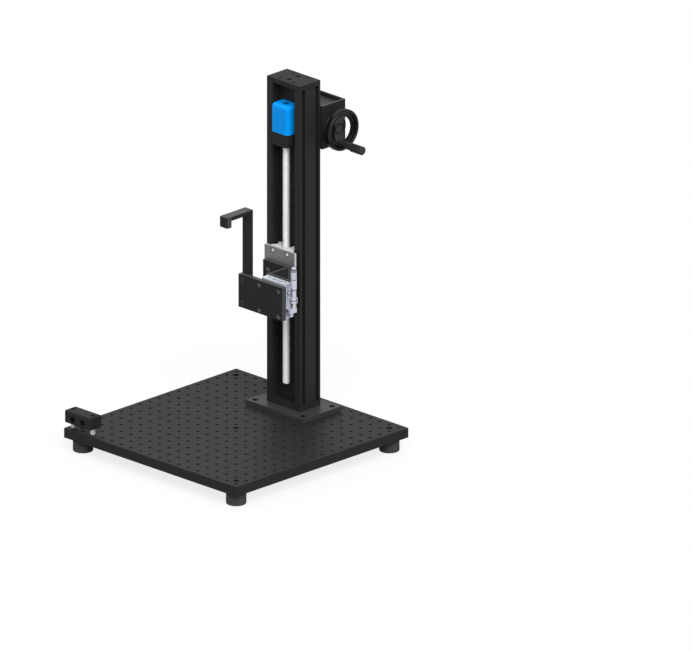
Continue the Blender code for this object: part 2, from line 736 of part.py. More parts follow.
def make_gear_head():
    """The black block that holds the screw's bearing, and the blue cover over its gears."""
    x = (-HEAD_WIDTH / 2, HEAD_WIDTH / 2)
    y = (HEAD_FRONT, CHANNEL_BACK - GAP)
    block = slab("gear_head_block", black_anodised(), x, y, (HEAD_BOTTOM, BLOCK_TOP_H - GAP))

    def lower_side(a, b):
        """The two long lower edges that run from front to back."""
        return a.z < 0 and b.z < 0 and abs(a.x - b.x) < SAME_POINT

    bevel_edges(block, lower_side, HEAD_CHAMFER, 1)
    seat = (0, SCREW_Y, 0)
    floor = HEAD_BOTTOM + HEAD_FLOOR
    drill(block, "bearing_seat", [seat], BEARING_OUTER + 2 * GAP, (floor, SHAFT_H), sides=MEDIUM)
    span = (HEAD_BOTTOM - HEAD_FLOOR, floor + HEAD_FLOOR)
    drill(block, "screw_clearance", [seat], SCREW_DIAMETER + 2 * RUNNING, span, sides=MEDIUM)
    pocket = slab(
        "gear_pocket", black_steel(), (-GEAR_ROOM, GEAR_ROOM),
        (SCREW_Y, CHANNEL_BACK + GEAR_HUB_LENGTH), (SHAFT_H - GEAR_ROOM, SHAFT_H + GEAR_ROOM))
    combine(block, pocket)

    cover = slab("gear_head_cover", blue_cover(), x, y, (BLOCK_TOP_H, COVER_TOP_H))

    def outer_edge(a, b):
        """The three edges that meet at the front, right and top corner."""
        at_front = a.y < 0 and b.y < 0
        at_right = a.x > 0 and b.x > 0
        at_top = a.z > 0 and b.z > 0
        return at_front + at_right + at_top == 2

    bevel_edges(cover, outer_edge, COVER_ROUNDING, 3)
    inside = (x[0] + COVER_WALL, x[1] - COVER_WALL)
    hollow = slab(
        "cover_hollow", black_steel(), inside, (HEAD_FRONT + COVER_WALL, CHANNEL_BACK + COVER_WALL),
        (BLOCK_TOP_H - COVER_WALL, COVER_TOP_H - COVER_TOP))
    combine(cover, hollow)
    span = (COVER_TOP_H - COVER_HOLE_DEPTH, COVER_TOP_H + COVER_HOLE_DEPTH)
    drill(cover, "cover_recess", [seat], COVER_HOLE, span, sides=MEDIUM)
    low = floor + GAP
    tube(
        "screw_bearing", gear_steel(), BEARING_OUTER, clear_bore(SCREW_JOURNAL, MEDIUM), low,
        low + BEARING_HEIGHT, seat, sides=MEDIUM)


def tooth_outline(radius):
    """Corners of a straight-toothed gear at its wide end, one tooth centred on +x."""
    module = 2 * radius / GEAR_TEETH
    tip = radius + TOOTH_TIP_RISE * module
    root = radius - TOOTH_ROOT_DROP * module
    pitch_angle = 2 * math.pi / GEAR_TEETH
    root_half = TOOTH_ROOT_SHARE * pitch_angle
    tip_half = TOOTH_TIP_SHARE * pitch_angle
    points = []
    for tooth in range(GEAR_TEETH):
        middle = tooth * pitch_angle
        for offset, reach in ((-root_half, root), (-tip_half, tip), (tip_half, tip), (root_half, root)):
            points.append((reach * math.cos(middle + offset), reach * math.sin(middle + offset)))
    return points


def mitre_gear(name, radius, shaft, apex, turn, mate, gap):
    """A straight mitre gear whose teeth all point at the apex that it shares with its mate.

    turn carries the gear from below the apex to its own side of it. mate is the way to
    the other gear, which meets a gap of this one if gap is set, and else a tooth.
    """
    mesh = bpy.data.meshes.new(name)
    shape = bmesh.new()
    verts = [shape.verts.new((x, y, -radius)) for x, y in tooth_outline(radius)]
    wide = bmesh.ops.contextual_create(shape, geom=verts)["faces"]
    grown = bmesh.ops.extrude_face_region(shape, geom=wide, use_keep_orig=True)["geom"]
    narrow = [item for item in grown if isinstance(item, bmesh.types.BMVert)]
    bmesh.ops.scale(shape, vec=(1 - GEAR_FACE,) * 3, verts=narrow)
    bmesh.ops.recalc_face_normals(shape, faces=shape.faces)
    to_mate = turn.to_3x3().inverted() @ Vector(mate)
    angle = math.atan2(to_mate.y, to_mate.x)
    if gap:
        angle += math.pi / GEAR_TEETH
    spin = Matrix.Rotation(angle, 3, "Z")
    bmesh.ops.rotate(shape, cent=(0, 0, 0), matrix=spin, verts=shape.verts)
    shape.to_mesh(mesh)
    shape.free()
    gear = place_object(name, mesh, gear_steel(), apex)
    gear.rotation_euler = turn.to_euler()
    hub_end = -radius - GEAR_HUB_LENGTH
    hub_start = -radius * (1 - GEAR_FACE / 2)
    hub = rod(
        name + "_hub", gear_steel(), 2 * radius * GEAR_HUB_SHARE, hub_end, hub_start, apex,
        sides=GEAR_TEETH)
    hub.rotation_euler = turn.to_euler()
    combine(gear, hub, "UNION")
    hole = rod(
        name + "_hole", gear_steel(), clear_bore(shaft, COARSE), hub_end - radius, radius, apex,
        sides=COARSE)
    hole.rotation_euler = turn.to_euler()
    combine(gear, hole)
    return gear


def make_lead_screw():
    """The lead screw, its journal and the gear on top of it."""
    radius = SCREW_DIAMETER / 2
    journal = SCREW_JOURNAL / 2
    shoulder = HEAD_BOTTOM + HEAD_FLOOR
    top = SHAFT_H - HEAD_GEAR_RADIUS * (1 - GEAR_FACE)
    profile = [
        (0, top), (journal, top), (journal, shoulder), (radius, shoulder),
        (radius, SCREW_END_HEIGHT + SCREW_CHAMFER), (radius - SCREW_CHAMFER, SCREW_END_HEIGHT),
        (0, SCREW_END_HEIGHT)]
    place = (0, SCREW_Y, 0)
    screw = turned("lead_screw", ground_steel(), profile, place, sides=MEDIUM)
    apex = (0, SCREW_Y, SHAFT_H)
    gear = mitre_gear(
        "lead_screw_gear", HEAD_GEAR_RADIUS, SCREW_JOURNAL, apex, Matrix.Identity(4), (0, 1, 0), False)
    ride("lead_screw_axis", apex, [screw, gear])


def make_cross_shaft():
    """The shaft through the column, with a mitre gear at each end and its two bushes."""
    front_apex = (0, SCREW_Y, SHAFT_H)
    back_apex = (0, WHEEL_Y, SHAFT_H)
    start = SCREW_Y + HEAD_GEAR_RADIUS * (1 - GEAR_FACE)
    end = WHEEL_Y - HOUSING_GEAR_RADIUS * (1 - GEAR_FACE)
    shaft = rod(
        "cross_shaft", ground_steel(), SHAFT_DIAMETER, start, end, (0, 0, SHAFT_H), axis="Y",
        sides=MEDIUM)
    to_back = Matrix.Rotation(math.pi / 2, 4, "X")
    to_front = Matrix.Rotation(-math.pi / 2, 4, "X")
    front = mitre_gear(
        "cross_shaft_front_gear", HEAD_GEAR_RADIUS, SHAFT_DIAMETER, front_apex, to_back, (0, 0, -1),
        True)
    back = mitre_gear(
        "cross_shaft_back_gear", HOUSING_GEAR_RADIUS, SHAFT_DIAMETER, back_apex, to_front, (1, 0, 0),
        True)
    ride("cross_shaft_axis", front_apex, [shaft, front, back])
    place = (0, 0, SHAFT_H)
    inner = clear_bore(SHAFT_DIAMETER, COARSE)
    tube(
        "cross_bush_front", bronze(), BUSH_OUTER, inner, CHANNEL_BACK + GAP, CORE_FRONT, place,
        axis="Y", sides=COARSE)
    tube(
        "cross_bush_back", bronze(), BUSH_OUTER, inner, CORE_BACK, COLUMN_BACK - GAP, place,
        axis="Y", sides=COARSE)


def make_housing():
    """The box behind the column, its inset cover, and the round dial plate on its side."""
    half = HOUSING_WIDTH / 2
    x = (-half, half)
    y = (HOUSING_FRONT, HOUSING_BACK)
    housing = slab("gear_housing", black_anodised(), x, y, (HOUSING_BOTTOM, HOUSING_TOP))
    wall = HOUSING_WALL
    ledge = HOUSING_TOP - HOUSING_RECESS - HOUSING_COVER - GAP
    hollow = slab(
        "housing_hollow", black_steel(), (x[0] + wall, x[1] - wall), (y[0] + wall, y[1] - wall),
        (HOUSING_BOTTOM + wall, HOUSING_TOP + wall))
    combine(housing, hollow)
    rim = HOUSING_RIM
    seat = slab(
        "housing_cover_seat", black_steel(), (x[0] + rim, x[1] - rim), (y[0] + rim, y[1] - rim),
        (ledge, HOUSING_TOP + wall))
    combine(housing, seat)
    span = (-wall * 1.5, wall * 1.5)
    behind = [(0, HOUSING_FRONT, SHAFT_H)]
    beside = [(half, WHEEL_Y, SHAFT_H)]
    drill(housing, "housing_shaft_bore", behind, BUSH_OUTER + 2 * GAP, span, "Y", MEDIUM)
    drill(housing, "housing_wheel_bore", beside, WHEEL_BUSH_OUTER + 2 * GAP, span, "X", MEDIUM)
    slab(
        "gear_housing_cover", grey_anodised(), (x[0] + rim + GAP, x[1] - rim - GAP),
        (y[0] + rim + GAP, y[1] - rim - GAP), (ledge + GAP, ledge + GAP + HOUSING_COVER))
    place = (0, WHEEL_Y, SHAFT_H)
    inner = clear_bore(WHEEL_SHAFT_DIAMETER, MEDIUM)
    bush = (WHEEL_BUSH_OUTER, inner, half - wall, half)
    tube("wheel_shaft_bush", bronze(), *bush, place, axis="X", sides=MEDIUM)
    radius = DIAL_DIAMETER / 2
    step = DIAL_STEP
    near = half + GAP
    profile = [
        (radius - step, DIAL_FACE), (radius, DIAL_FACE - step), (radius, near),
        (inner / 2, near), (inner / 2, DIAL_FACE)]
    turned("dial_plate", black_anodised(), profile, place, axis="X", sides=FINE, ring=True)


def make_handwheel():
    """The dished handwheel with its flanged rim and two spokes, its shaft, gear and handle shank."""
    place = (0, WHEEL_Y, SHAFT_H)
    outer = WHEEL_DIAMETER / 2
    inner = outer - WHEEL_RIM_RADIAL
    near = RIM_INNER_X
    far = near + WHEEL_RIM_WIDTH
    step = WHEEL_RIM_RADIAL / 4
    rim = [
        (inner + step, far), (outer - step, far), (outer, far - step), (outer, near + step),
        (outer - step, near), (inner + step, near), (inner, near + step),
        (WHEEL_WINDOW_RADIUS, near + step), (WHEEL_WINDOW_RADIUS, near + step + WHEEL_FLANGE_THICKNESS),
        (inner, near + step + WHEEL_FLANGE_THICKNESS), (inner, far - step)]
    wheel = turned("handwheel", black_anodised(), rim, place, axis="X", sides=FINE, ring=True)
    hub = rod(
        "handwheel_hub", black_anodised(), WHEEL_HUB_DIAMETER, HUB_INNER, HUB_OUTER, place, axis="X",
        sides=MEDIUM)
    combine(wheel, hub, "UNION")
    combine(wheel, handwheel_web(place, inner + step), "UNION")
    boss = rod(
        "handle_boss", black_anodised(), HANDLE_BOSS, RIM_INNER_X, BOSS_FACE,
        (0, WHEEL_Y, HANDLE_H), axis="X", sides=COARSE)
    combine(wheel, boss, "UNION")
    bore = rod(
        "handwheel_bore", black_anodised(), clear_bore(WHEEL_SHAFT_DIAMETER, MEDIUM), 0, HUB_OUTER * 2,
        place, axis="X", sides=MEDIUM)
    combine(wheel, bore)
    gear_front = HOUSING_GEAR_RADIUS * (1 - GEAR_FACE)
    shaft = rod(
        "handwheel_shaft", ground_steel(), WHEEL_SHAFT_DIAMETER, gear_front, HUB_OUTER, place,
        axis="X", sides=MEDIUM)
    to_side = Matrix.Rotation(-math.pi / 2, 4, "Y")
    gear = mitre_gear(
        "handwheel_gear", HOUSING_GEAR_RADIUS, WHEEL_SHAFT_DIAMETER, place, to_side, (0, -1, 0), False)
    start = BOSS_FACE + GAP
    shank_end = SHANK_START + HANDLE_SHANK_LENGTH
    pin_end = shank_end + GRIP_LENGTH - GRIP_WALL
    neck = HANDLE_NECK / 2
    shank = HANDLE_SHANK / 2
    pin = HANDLE_PIN / 2
    profile = [
        (0, pin_end), (pin, pin_end), (pin, shank_end), (shank, shank_end),
        (shank, SHANK_START), (neck, SHANK_START), (neck, start), (0, start)]
    handle_place = (0, WHEEL_Y, HANDLE_H)
    spindle = turned("handle_spindle", ground_steel(), profile, handle_place, axis="X", sides=MEDIUM)
    ride("handwheel_axis", place, [wheel, shaft, gear, spindle])
    grip_start = shank_end + GAP
    grip_end = grip_start + GRIP_LENGTH
    radius = GRIP_DIAMETER / 2
    slim = radius - GRIP_ROUNDING
    hole = pin + GAP
    profile = [
        (0, grip_end), (slim, grip_end), (radius, grip_end - GRIP_ROUNDING),
        (radius, grip_start + GRIP_ROUNDING), (slim, grip_start), (hole, grip_start),
        (hole, pin_end + GAP), (0, pin_end + GAP)]
    grip = turned("crank_grip", black_anodised(), profile, handle_place, axis="X", sides=MEDIUM)
    ride("crank_grip_axis", handle_place, [grip])


def handwheel_web(place, reach):
    """Two spokes that lean outwards from the hub to the rim, as one upright bar."""
    start = HUB_OUTER - WHEEL_SPOKE_THICKNESS
    end = RIM_INNER_X + GAP
    thick = WHEEL_SPOKE_THICKNESS
    knee = WHEEL_HUB_DIAMETER / 2
    outline = [
        (start, -knee), (end, -reach), (end + thick, -reach), (start + thick, -knee),
        (start + thick, knee), (end + thick, reach), (end, reach), (start, knee)]
    middle = WHEEL_Y
    half = WHEEL_SPOKE_WIDTH / 2
    shifted = [(x, h + place[2]) for x, h in outline]
    span = (middle - half, middle + half)
    return extruded("handwheel_web", black_anodised(), shifted, *span, upright=True)


def carriage_outline():
    """The slider's section: full width in the lips, a waist behind them, and a back notch."""
    half = CHANNEL_WIDTH / 2 - RUNNING
    waist = CARRIAGE_WAIST / 2
    front = PLATE_BACK_Y + GAP
    back = CHANNEL_BACK - RUNNING
    lip = COLUMN_FRONT
    notch = CARRIAGE_NOTCH / 2
    notch_front = SCREW_Y - notch
    land = lip - CARRIAGE_LAND
    waist_length = back - lip - CARRIAGE_LAND
    side = [(half, front), (half, land)]
    for i in range(1, WAIST_STEPS):
        share = i / WAIST_STEPS
        dip = math.sin(math.pi * share) ** WAIST_FULLNESS
        side.append((half - (half - waist) * dip, land + waist_length * share))
    side += [(half, back - 2 * CARRIAGE_LAND), (half - CARRIAGE_LAND, back)]
    side += [(notch + NOTCH_CHAMFER, back), (notch, back - NOTCH_CHAMFER)]
    side += [(notch, notch_front + NOTCH_CHAMFER), (notch - NOTCH_CHAMFER, notch_front)]
    return side + [(-x, y) for x, y in reversed(side)]


def make_carriage():
    """The slider in the channel, its nut, and the plate screwed to its front."""
    low = CARRIAGE_REST
    high = CARRIAGE_REST + CARRIAGE_HEIGHT
    slider = extruded("carriage_slider", white_slider(), carriage_outline(), low, high)
    middle = (low + high) / 2
    half = CARRIAGE_NOTCH / 2 - GAP
    nut = slab(
        "carriage_nut", bronze(), (-half, half),
        (SCREW_Y - half + NOTCH_CHAMFER, CHANNEL_BACK - RUNNING - GAP),
        (middle - NUT_HEIGHT / 2, middle + NUT_HEIGHT / 2))
    span = (-NUT_HEIGHT, NUT_HEIGHT)
    drill(nut, "nut_thread", [(0, SCREW_Y, middle)], SCREW_DIAMETER + 2 * GAP, span, sides=MEDIUM)
    across = CARRIAGE_SCREW_SPACING / 2
    margin = CARRIAGE_SCREW_MARGIN
    screws = [(x, h) for x in (-across, across) for h in (low + margin, high - margin)]
    width = CARRIAGE_PLATE_WIDTH / 2
    plate = slab(
        "carriage_plate", grey_anodised(), (-width, width), (PLATE_FRONT_Y, PLATE_BACK_Y), (low, high))
    pins = [(x, PLATE_FRONT_Y, h) for x, h in screws]
    depth = (CARRIAGE_SCREW_HEAD - CARRIAGE_SCREW_HOLE) / 2
    span = (-CARRIAGE_PLATE_THICKNESS, 2 * CARRIAGE_PLATE_THICKNESS)
    drill(plate, "plate_screw_holes", pins, CARRIAGE_SCREW_HOLE, span, "Y")
    combine(plate, countersinks("plate_sinks", screws, depth))
    return [slider, nut, plate]


def countersinks(name, screws, depth):
    """Cone-shaped tools that open screw holes at the carriage plate's front face."""
    mesh = bpy.data.meshes.new(name)
    shape = bmesh.new()
    start = Matrix.Rotation(math.pi / COARSE, 4, "Z")
    wide = CARRIAGE_SCREW_HEAD / 2 + depth
    tip = CARRIAGE_SCREW_HOLE / 2 - depth / 2
    length = wide - tip
    for x, h in screws:
        middle = PLATE_FRONT_Y - depth + length / 2
        moved = Matrix.Translation(Vector((x, middle, h))) @ AXIS_TURNS["Y"] @ start
        bmesh.ops.create_cone(
            shape, cap_ends=True, segments=COARSE, radius1=wide, radius2=tip, depth=length, matrix=moved)
    shape.to_mesh(mesh)
    shape.free()
    return place_object(name, mesh, black_steel(), (0, 0, 0))


def make_bracket():
    """The stepped bracket: a back plate, a web at its right, and a front plate."""
    low = BRACKET_REST
    high = BRACKET_REST + BRACKET_HEIGHT
    half = BRACKET_BACK_WIDTH / 2
    across = BRACKET_BOLT_SPACING / 2
    margin = BRACKET_BOLT_MARGIN
    bolts = [(x, h) for x in (-across, across) for h in (low + margin, high - margin)]
    back = slab(
        "bracket_back_plate", black_anodised(), (-half, half), (BRACKET_WEB_Y, BRACKET_BACK_Y),
        (low, high))
    pins = [(x, BRACKET_WEB_Y, h) for x, h in bolts]
    thick = BRACKET_BACK_THICKNESS
    drill(back, "bracket_bolt_holes", pins, PLATE_BOLT_HOLE, (-thick, 2 * thick), "Y")
    drill(back, "bracket_sinks", pins, PLATE_BOLT_HEAD, (-thick / 2, thick / 2), "Y")
    web_left = half - BRACKET_WEB_THICKNESS
    web = slab(
        "bracket_web", black_anodised(), (web_left, half), (BRACKET_FRONT_Y, BRACKET_WEB_Y - GAP),
        (low, high))
    front_right = STAGE_RIGHT - BRACKET_FRONT_SHORT
    front = slab(
        "bracket_front_plate", black_anodised(), (front_right - BRACKET_FRONT_WIDTH, front_right),
        (BRACKET_FRONT_Y - BRACKET_FRONT_THICKNESS, BRACKET_FRONT_Y - GAP), (low, high))
    return [back, web, front]


def make_stage_base():
    """The fixed half of the micrometer stage, with its rail, gib and micrometer holder."""
    low = BRACKET_REST
    high = low + STAGE_HEIGHT
    floor = STAGE_SPLIT_Y + TRACK_DEPTH
    left = STAGE_OFFSET - TRACK_WIDTH / 2
    right = STAGE_OFFSET + TRACK_WIDTH / 2
    section = [
        (STAGE_LEFT, STAGE_BACK_Y), (STAGE_LEFT, STAGE_SPLIT_Y), (left, STAGE_SPLIT_Y), (left, floor),
        (right, floor), (right, STAGE_SPLIT_Y), (STAGE_RIGHT, STAGE_SPLIT_Y), (STAGE_RIGHT, STAGE_BACK_Y)]
    base = extruded("stage_base", satin_alloy(), section, low, high)
    place = [(STAGE_RIGHT, LOCK_Y, LOCK_H)]
    span = (right - STAGE_RIGHT - GAP, LOCK_HEAD_LENGTH)
    drill(base, "lock_hole", place, clear_bore(LOCK_SHANK, COARSE), span, "X")
    rail = slab(
        "stage_rail", ground_steel(), (left + GAP, left + GAP + RAIL_WIDTH),
        (STAGE_SPLIT_Y, floor - GAP), (low, high))
    gib = slab(
        "stage_gib", ground_steel(), (right - GAP - RAIL_WIDTH, right - GAP),
        (STAGE_SPLIT_Y, floor - GAP), (low, high))
    return [base, rail, gib] + make_micrometer_holder()


def make_micrometer_holder():
    """The clamp on the side of the stage's base, and the micrometer's fixed sleeve."""
    bore = SLEEVE_DIAMETER + 2 * GAP
    ring = bore / 2 + HOLDER_WALL
    x = (STAGE_RIGHT + GAP, MICROMETER_X)
    holder = slab(
        "micrometer_holder", satin_alloy(), x, (STAGE_SPLIT_Y, MICROMETER_Y + HOLDER_CHEEK),
        (HOLDER_LOW, HOLDER_TOP))
    place = (MICROMETER_X, MICROMETER_Y, 0)
    collar = rod(
        "holder_collar", satin_alloy(), 2 * ring, HOLDER_LOW, HOLDER_TOP, place, sides=MEDIUM)
    combine(holder, collar, "UNION")
    span = (HOLDER_LOW - HOLDER_HEIGHT, HOLDER_TOP + HOLDER_HEIGHT)
    drill(holder, "holder_bore", [place], bore, span, sides=MEDIUM)
    sleeve = tube(
        "micrometer_sleeve", satin_alloy(), SLEEVE_DIAMETER, SPINDLE_DIAMETER + 2 * GAP, HOLDER_LOW,
        HOLDER_LOW + SLEEVE_LENGTH, place, sides=MEDIUM)
    return [holder, sleeve]


def make_lock_screw():
    """The small screw that presses the gib and locks the stage."""
    right = STAGE_OFFSET + TRACK_WIDTH / 2
    place = (0, LOCK_Y, LOCK_H)
    head = STAGE_RIGHT + GAP
    end = head + LOCK_HEAD_LENGTH
    profile = [
        (0, end), (LOCK_HEAD / 2, end), (LOCK_HEAD / 2, head), (LOCK_SHANK / 2, head),
        (LOCK_SHANK / 2, right), (0, right)]
    screw = turned("stage_lock_screw", black_steel(), profile, place, axis="X", sides=COARSE)
    ride("stage_lock_axis", (head, LOCK_Y, LOCK_H), [screw])


def make_moving_plate():
    """The moving half of the stage, with a tongue between rail and gib, and its anvil."""
    low = BRACKET_REST
    high = low + STAGE_HEIGHT
    left = STAGE_OFFSET - TRACK_WIDTH / 2 + 2 * GAP + RAIL_WIDTH
    right = STAGE_OFFSET + TRACK_WIDTH / 2 - 2 * GAP - RAIL_WIDTH
    near = STAGE_SPLIT_Y - RUNNING
    tip = STAGE_SPLIT_Y + TRACK_DEPTH - RUNNING
    section = [
        (STAGE_LEFT, STAGE_FRONT_Y), (STAGE_RIGHT, STAGE_FRONT_Y), (STAGE_RIGHT, near), (right, near),
        (right, tip), (left, tip), (left, near), (STAGE_LEFT, near)]
    plate = extruded("stage_plate", satin_alloy(), section, low, high)
    anvil = slab(
        "micrometer_anvil", satin_alloy(), (STAGE_RIGHT + GAP, MICROMETER_X + SPINDLE_DIAMETER),
        (STAGE_FRONT_Y + ANVIL_INSET, MICROMETER_Y + SPINDLE_DIAMETER), (ANVIL_LOW, ANVIL_TOP))
    return [plate, anvil]


def make_camera_plate():
    """The plate that carries the camera, with four sunk holes and two pairs of small ones."""
    low = PLATE_REST
    high = low + PLATE_HEIGHT
    x = (-PLATE_LEFT, PLATE_WIDTH - PLATE_LEFT)
    right = x[1] - PLATE_BOLT_MARGIN
    bolts = [
        (a, b) for a in (right - PLATE_BOLT_SPACING, right)
        for b in ((low + high - PLATE_BOLT_SPACING) / 2, (low + high + PLATE_BOLT_SPACING) / 2)]
    arm_x = -PLATE_LEFT + ARM_WIDTH / 2
    pairs = (low + ARM_SCREW_MARGIN, high - ARM_SCREW_MARGIN)
    apart = ARM_SCREW_SPACING / 2
    screws = [(arm_x, CAMERA_FRONT_Y, b + rise) for b in pairs for rise in (-apart, apart)]
    plate = slab("camera_plate", black_anodised(), x, (CAMERA_FRONT_Y, CAMERA_BACK_Y), (low, high))
    through = (-PLATE_THICKNESS, 2 * PLATE_THICKNESS)
    holes = [(a, CAMERA_FRONT_Y, b) for a, b in bolts]
    drill(plate, "camera_plate_holes", holes, PLATE_BOLT_HOLE, through, "Y")
    drill(plate, "arm_screw_holes", screws, ARM_SCREW_HOLE, through, "Y")
    sink = (-PLATE_BOLT_HEAD_DEPTH, PLATE_BOLT_HEAD_DEPTH)
    drill(plate, "camera_plate_sinks", holes, PLATE_BOLT_HEAD, sink, "Y")
    return [plate]


def make_arm():
    """The bar behind the plate, the beam that runs forward, and the two-layer hook tip."""
    x = (-PLATE_LEFT, -PLATE_LEFT + ARM_WIDTH)
    bar_front = CAMERA_BACK_Y + GAP
    upright = slab(
        "arm_upright", black_anodised(), x, (bar_front, bar_front + ARM_THICKNESS), (PLATE_REST, ARM_TOP))
    tip_back = bar_front - ARM_REACH
    beam = slab(
        "arm_beam", black_anodised(), x, (tip_back, bar_front - GAP),
        (ARM_TOP - ARM_THICKNESS, ARM_TOP))
    low = ARM_TOP - HOOK_DROP
    inner = slab(
        "hook_inner_plate", black_anodised(), x, (tip_back - HOOK_LAYER, tip_back - GAP), (low, ARM_TOP))
    outer = slab(
        "hook_outer_plate", black_anodised(), x, (tip_back - 2 * HOOK_LAYER, tip_back - HOOK_LAYER - GAP),
        (low, ARM_TOP))
    return [upright, beam, inner, outer]


def make_thimble():
    """The micrometer's thimble, friction knob and spindle, which turn together."""
    place = (MICROMETER_X, MICROMETER_Y, 0)
    outer = THIMBLE_DIAMETER / 2
    inner = SLEEVE_DIAMETER / 2 + GAP
    edge = outer - (outer - inner) / 2
    ceiling = HOLDER_LOW + SLEEVE_LENGTH + FINE_TRAVEL + THIMBLE_WALL
    profile = [
        (0, THIMBLE_TOP), (outer - THIMBLE_WALL, THIMBLE_TOP), (outer, THIMBLE_TOP - THIMBLE_WALL),
        (outer, THIMBLE_LOW + THIMBLE_BEVEL), (edge, THIMBLE_LOW), (inner, THIMBLE_LOW),
        (inner, ceiling), (0, ceiling)]
    thimble = turned("micrometer_thimble", satin_alloy(), profile, place, sides=MEDIUM)
    knob = rod(
        "micrometer_knob", satin_alloy(), KNOB_DIAMETER, THIMBLE_TOP + GAP, THIMBLE_TOP + KNOB_HEIGHT,
        place, sides=MEDIUM, chamfer=THIMBLE_WALL / 2)
    spindle = rod(
        "micrometer_spindle", ground_steel(), SPINDLE_DIAMETER, ANVIL_TOP + GAP, ceiling - GAP, place,
        sides=COARSE)
    ride("thimble_axis", (MICROMETER_X, MICROMETER_Y, THIMBLE_LOW), [thimble, knob, spindle])


def make_corner_block():
    """The block at the board's front left corner, on two posts over the grid's holes."""
    half = BLOCK_SPAN_PITCHES * GRID_PITCH / 2
    posts = [(BLOCK_CENTRE - half, -GRID_EDGE), (BLOCK_CENTRE + half, -GRID_EDGE)]
    x = (BLOCK_CENTRE - half - BLOCK_OVERHANG, BLOCK_CENTRE + half + BLOCK_OVERHANG)
    y = (-GRID_EDGE - BLOCK_DEPTH / 2, -GRID_EDGE + BLOCK_DEPTH / 2)
    top = POST_HEIGHT + BLOCK_HEIGHT
    block = slab("corner_block", black_anodised(), x, y, (POST_HEIGHT + GAP, top))
    bevel_edges(block, lambda a, b: True, BLOCK_CHAMFER, 1)
    upright = [(a, b, 0) for a, b in posts]
    drill(block, "block_screw_holes", upright, PLATE_BOLT_HOLE, (0, top + BLOCK_HEIGHT))
    cross = BLOCK_CROSS_SPACING / 2
    level = POST_HEIGHT + BLOCK_CROSS_RISE
    pins = [(BLOCK_CENTRE - cross, y[0], level), (BLOCK_CENTRE + cross, y[0], level)]
    drill(block, "block_cross_sinks", pins, SCREW_HEAD, (-SCREW_HEAD_DEPTH, SCREW_HEAD_DEPTH), "Y")
    drill(block, "block_cross_holes", pins, SCREW_CLEARANCE, (-BLOCK_DEPTH, 2 * BLOCK_DEPTH), "Y")
    for name, (a, b) in zip(("corner_post_left", "corner_post_right"), posts):
        rod(name, satin_alloy(), POST_DIAMETER, GAP, POST_HEIGHT, (a, b, 0), sides=COARSE)


def settle():
    """Turn every piece into a plain mesh that is smooth where it is round."""
    bpy.context.view_layer.update()
    scene = bpy.context.evaluated_depsgraph_get()
    pieces = [item for item in collection(PARTS).objects if item.type == "MESH"]
    shapes = [bpy.data.meshes.new_from_object(piece.evaluated_get(scene)) for piece in pieces]
    for piece, shape in zip(pieces, shapes):
        shape.name = piece.name
        shape.shade_smooth()
        shape.set_sharp_from_angle(angle=SHARP_TURN)
        piece.modifiers.clear()
        piece.data = shape
    for tool in list(collection(CUTTERS).objects):
        bpy.data.objects.remove(tool, do_unlink=True)


def build():
    """Make every piece and hang the moving ones on their joints."""
    clear_scene()
    make_board()
    make_feet()
    make_flange()
    make_end_plate("column_foot_plate", FLANGE_THICKNESS, COLUMN_FOOT)
    make_column()
    make_end_plate("column_top_plate", COLUMN_TOP, COLUMN_TOP + END_PLATE_THICKNESS)
    make_gear_head()
    make_lead_screw()
    make_cross_shaft()
    make_housing()
    make_handwheel()
    make_corner_block()
    carriage = make_carriage() + make_bracket() + make_stage_base()
    ride("carriage_axis", (0, SCREW_Y, CARRIAGE_REST), carriage)
    make_lock_screw()
    fine_stage = make_moving_plate() + make_camera_plate() + make_arm()
    ride("fine_stage_axis", (STAGE_OFFSET, STAGE_SPLIT_Y, BRACKET_REST), fine_stage)
    make_thimble()
    settle()


if __name__ == "__main__":
    build()
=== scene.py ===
"""Manual camera positioning stage, dressed for its picture.

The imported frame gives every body, node and place. Each piece below is fitted to the
box of the node that it stands for, and rides on that node's body.
"""
import math
from functools import partial

import bmesh
import bpy
from mathutils import Matrix, Vector


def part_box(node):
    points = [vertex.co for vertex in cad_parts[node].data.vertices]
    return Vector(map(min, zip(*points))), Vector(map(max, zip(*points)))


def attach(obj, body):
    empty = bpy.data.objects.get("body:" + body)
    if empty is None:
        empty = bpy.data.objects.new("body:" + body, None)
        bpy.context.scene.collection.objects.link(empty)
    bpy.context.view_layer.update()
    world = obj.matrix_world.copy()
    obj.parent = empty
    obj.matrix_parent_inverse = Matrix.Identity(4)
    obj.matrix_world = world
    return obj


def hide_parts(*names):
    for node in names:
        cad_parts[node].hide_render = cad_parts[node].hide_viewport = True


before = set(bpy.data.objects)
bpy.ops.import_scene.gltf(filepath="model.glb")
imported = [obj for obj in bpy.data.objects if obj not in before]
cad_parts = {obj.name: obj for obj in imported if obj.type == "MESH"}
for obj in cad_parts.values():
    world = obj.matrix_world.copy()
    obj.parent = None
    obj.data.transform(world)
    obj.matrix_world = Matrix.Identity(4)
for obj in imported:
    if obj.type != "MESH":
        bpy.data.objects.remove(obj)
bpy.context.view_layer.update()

bl_info = {
    "name": "Camera Positioning Stage",
    "version": (1, 0, 0),
    "blender": (4, 5, 0),
    "location": "3D View > Sidebar > Camera Stage",
    "description": "Dresses a hand-cranked camera positioning stage in a plain studio",
    "category": "Object",
}

MM = 0.001

ALONG = {
    "X": Matrix.Rotation(math.pi / 2, 4, "Y"),
    "Y": Matrix.Rotation(-math.pi / 2, 4, "X"),
    "Z": Matrix.Identity(4),
}
UP, FRONT = (0, 0, 1), (0, -1, 0)

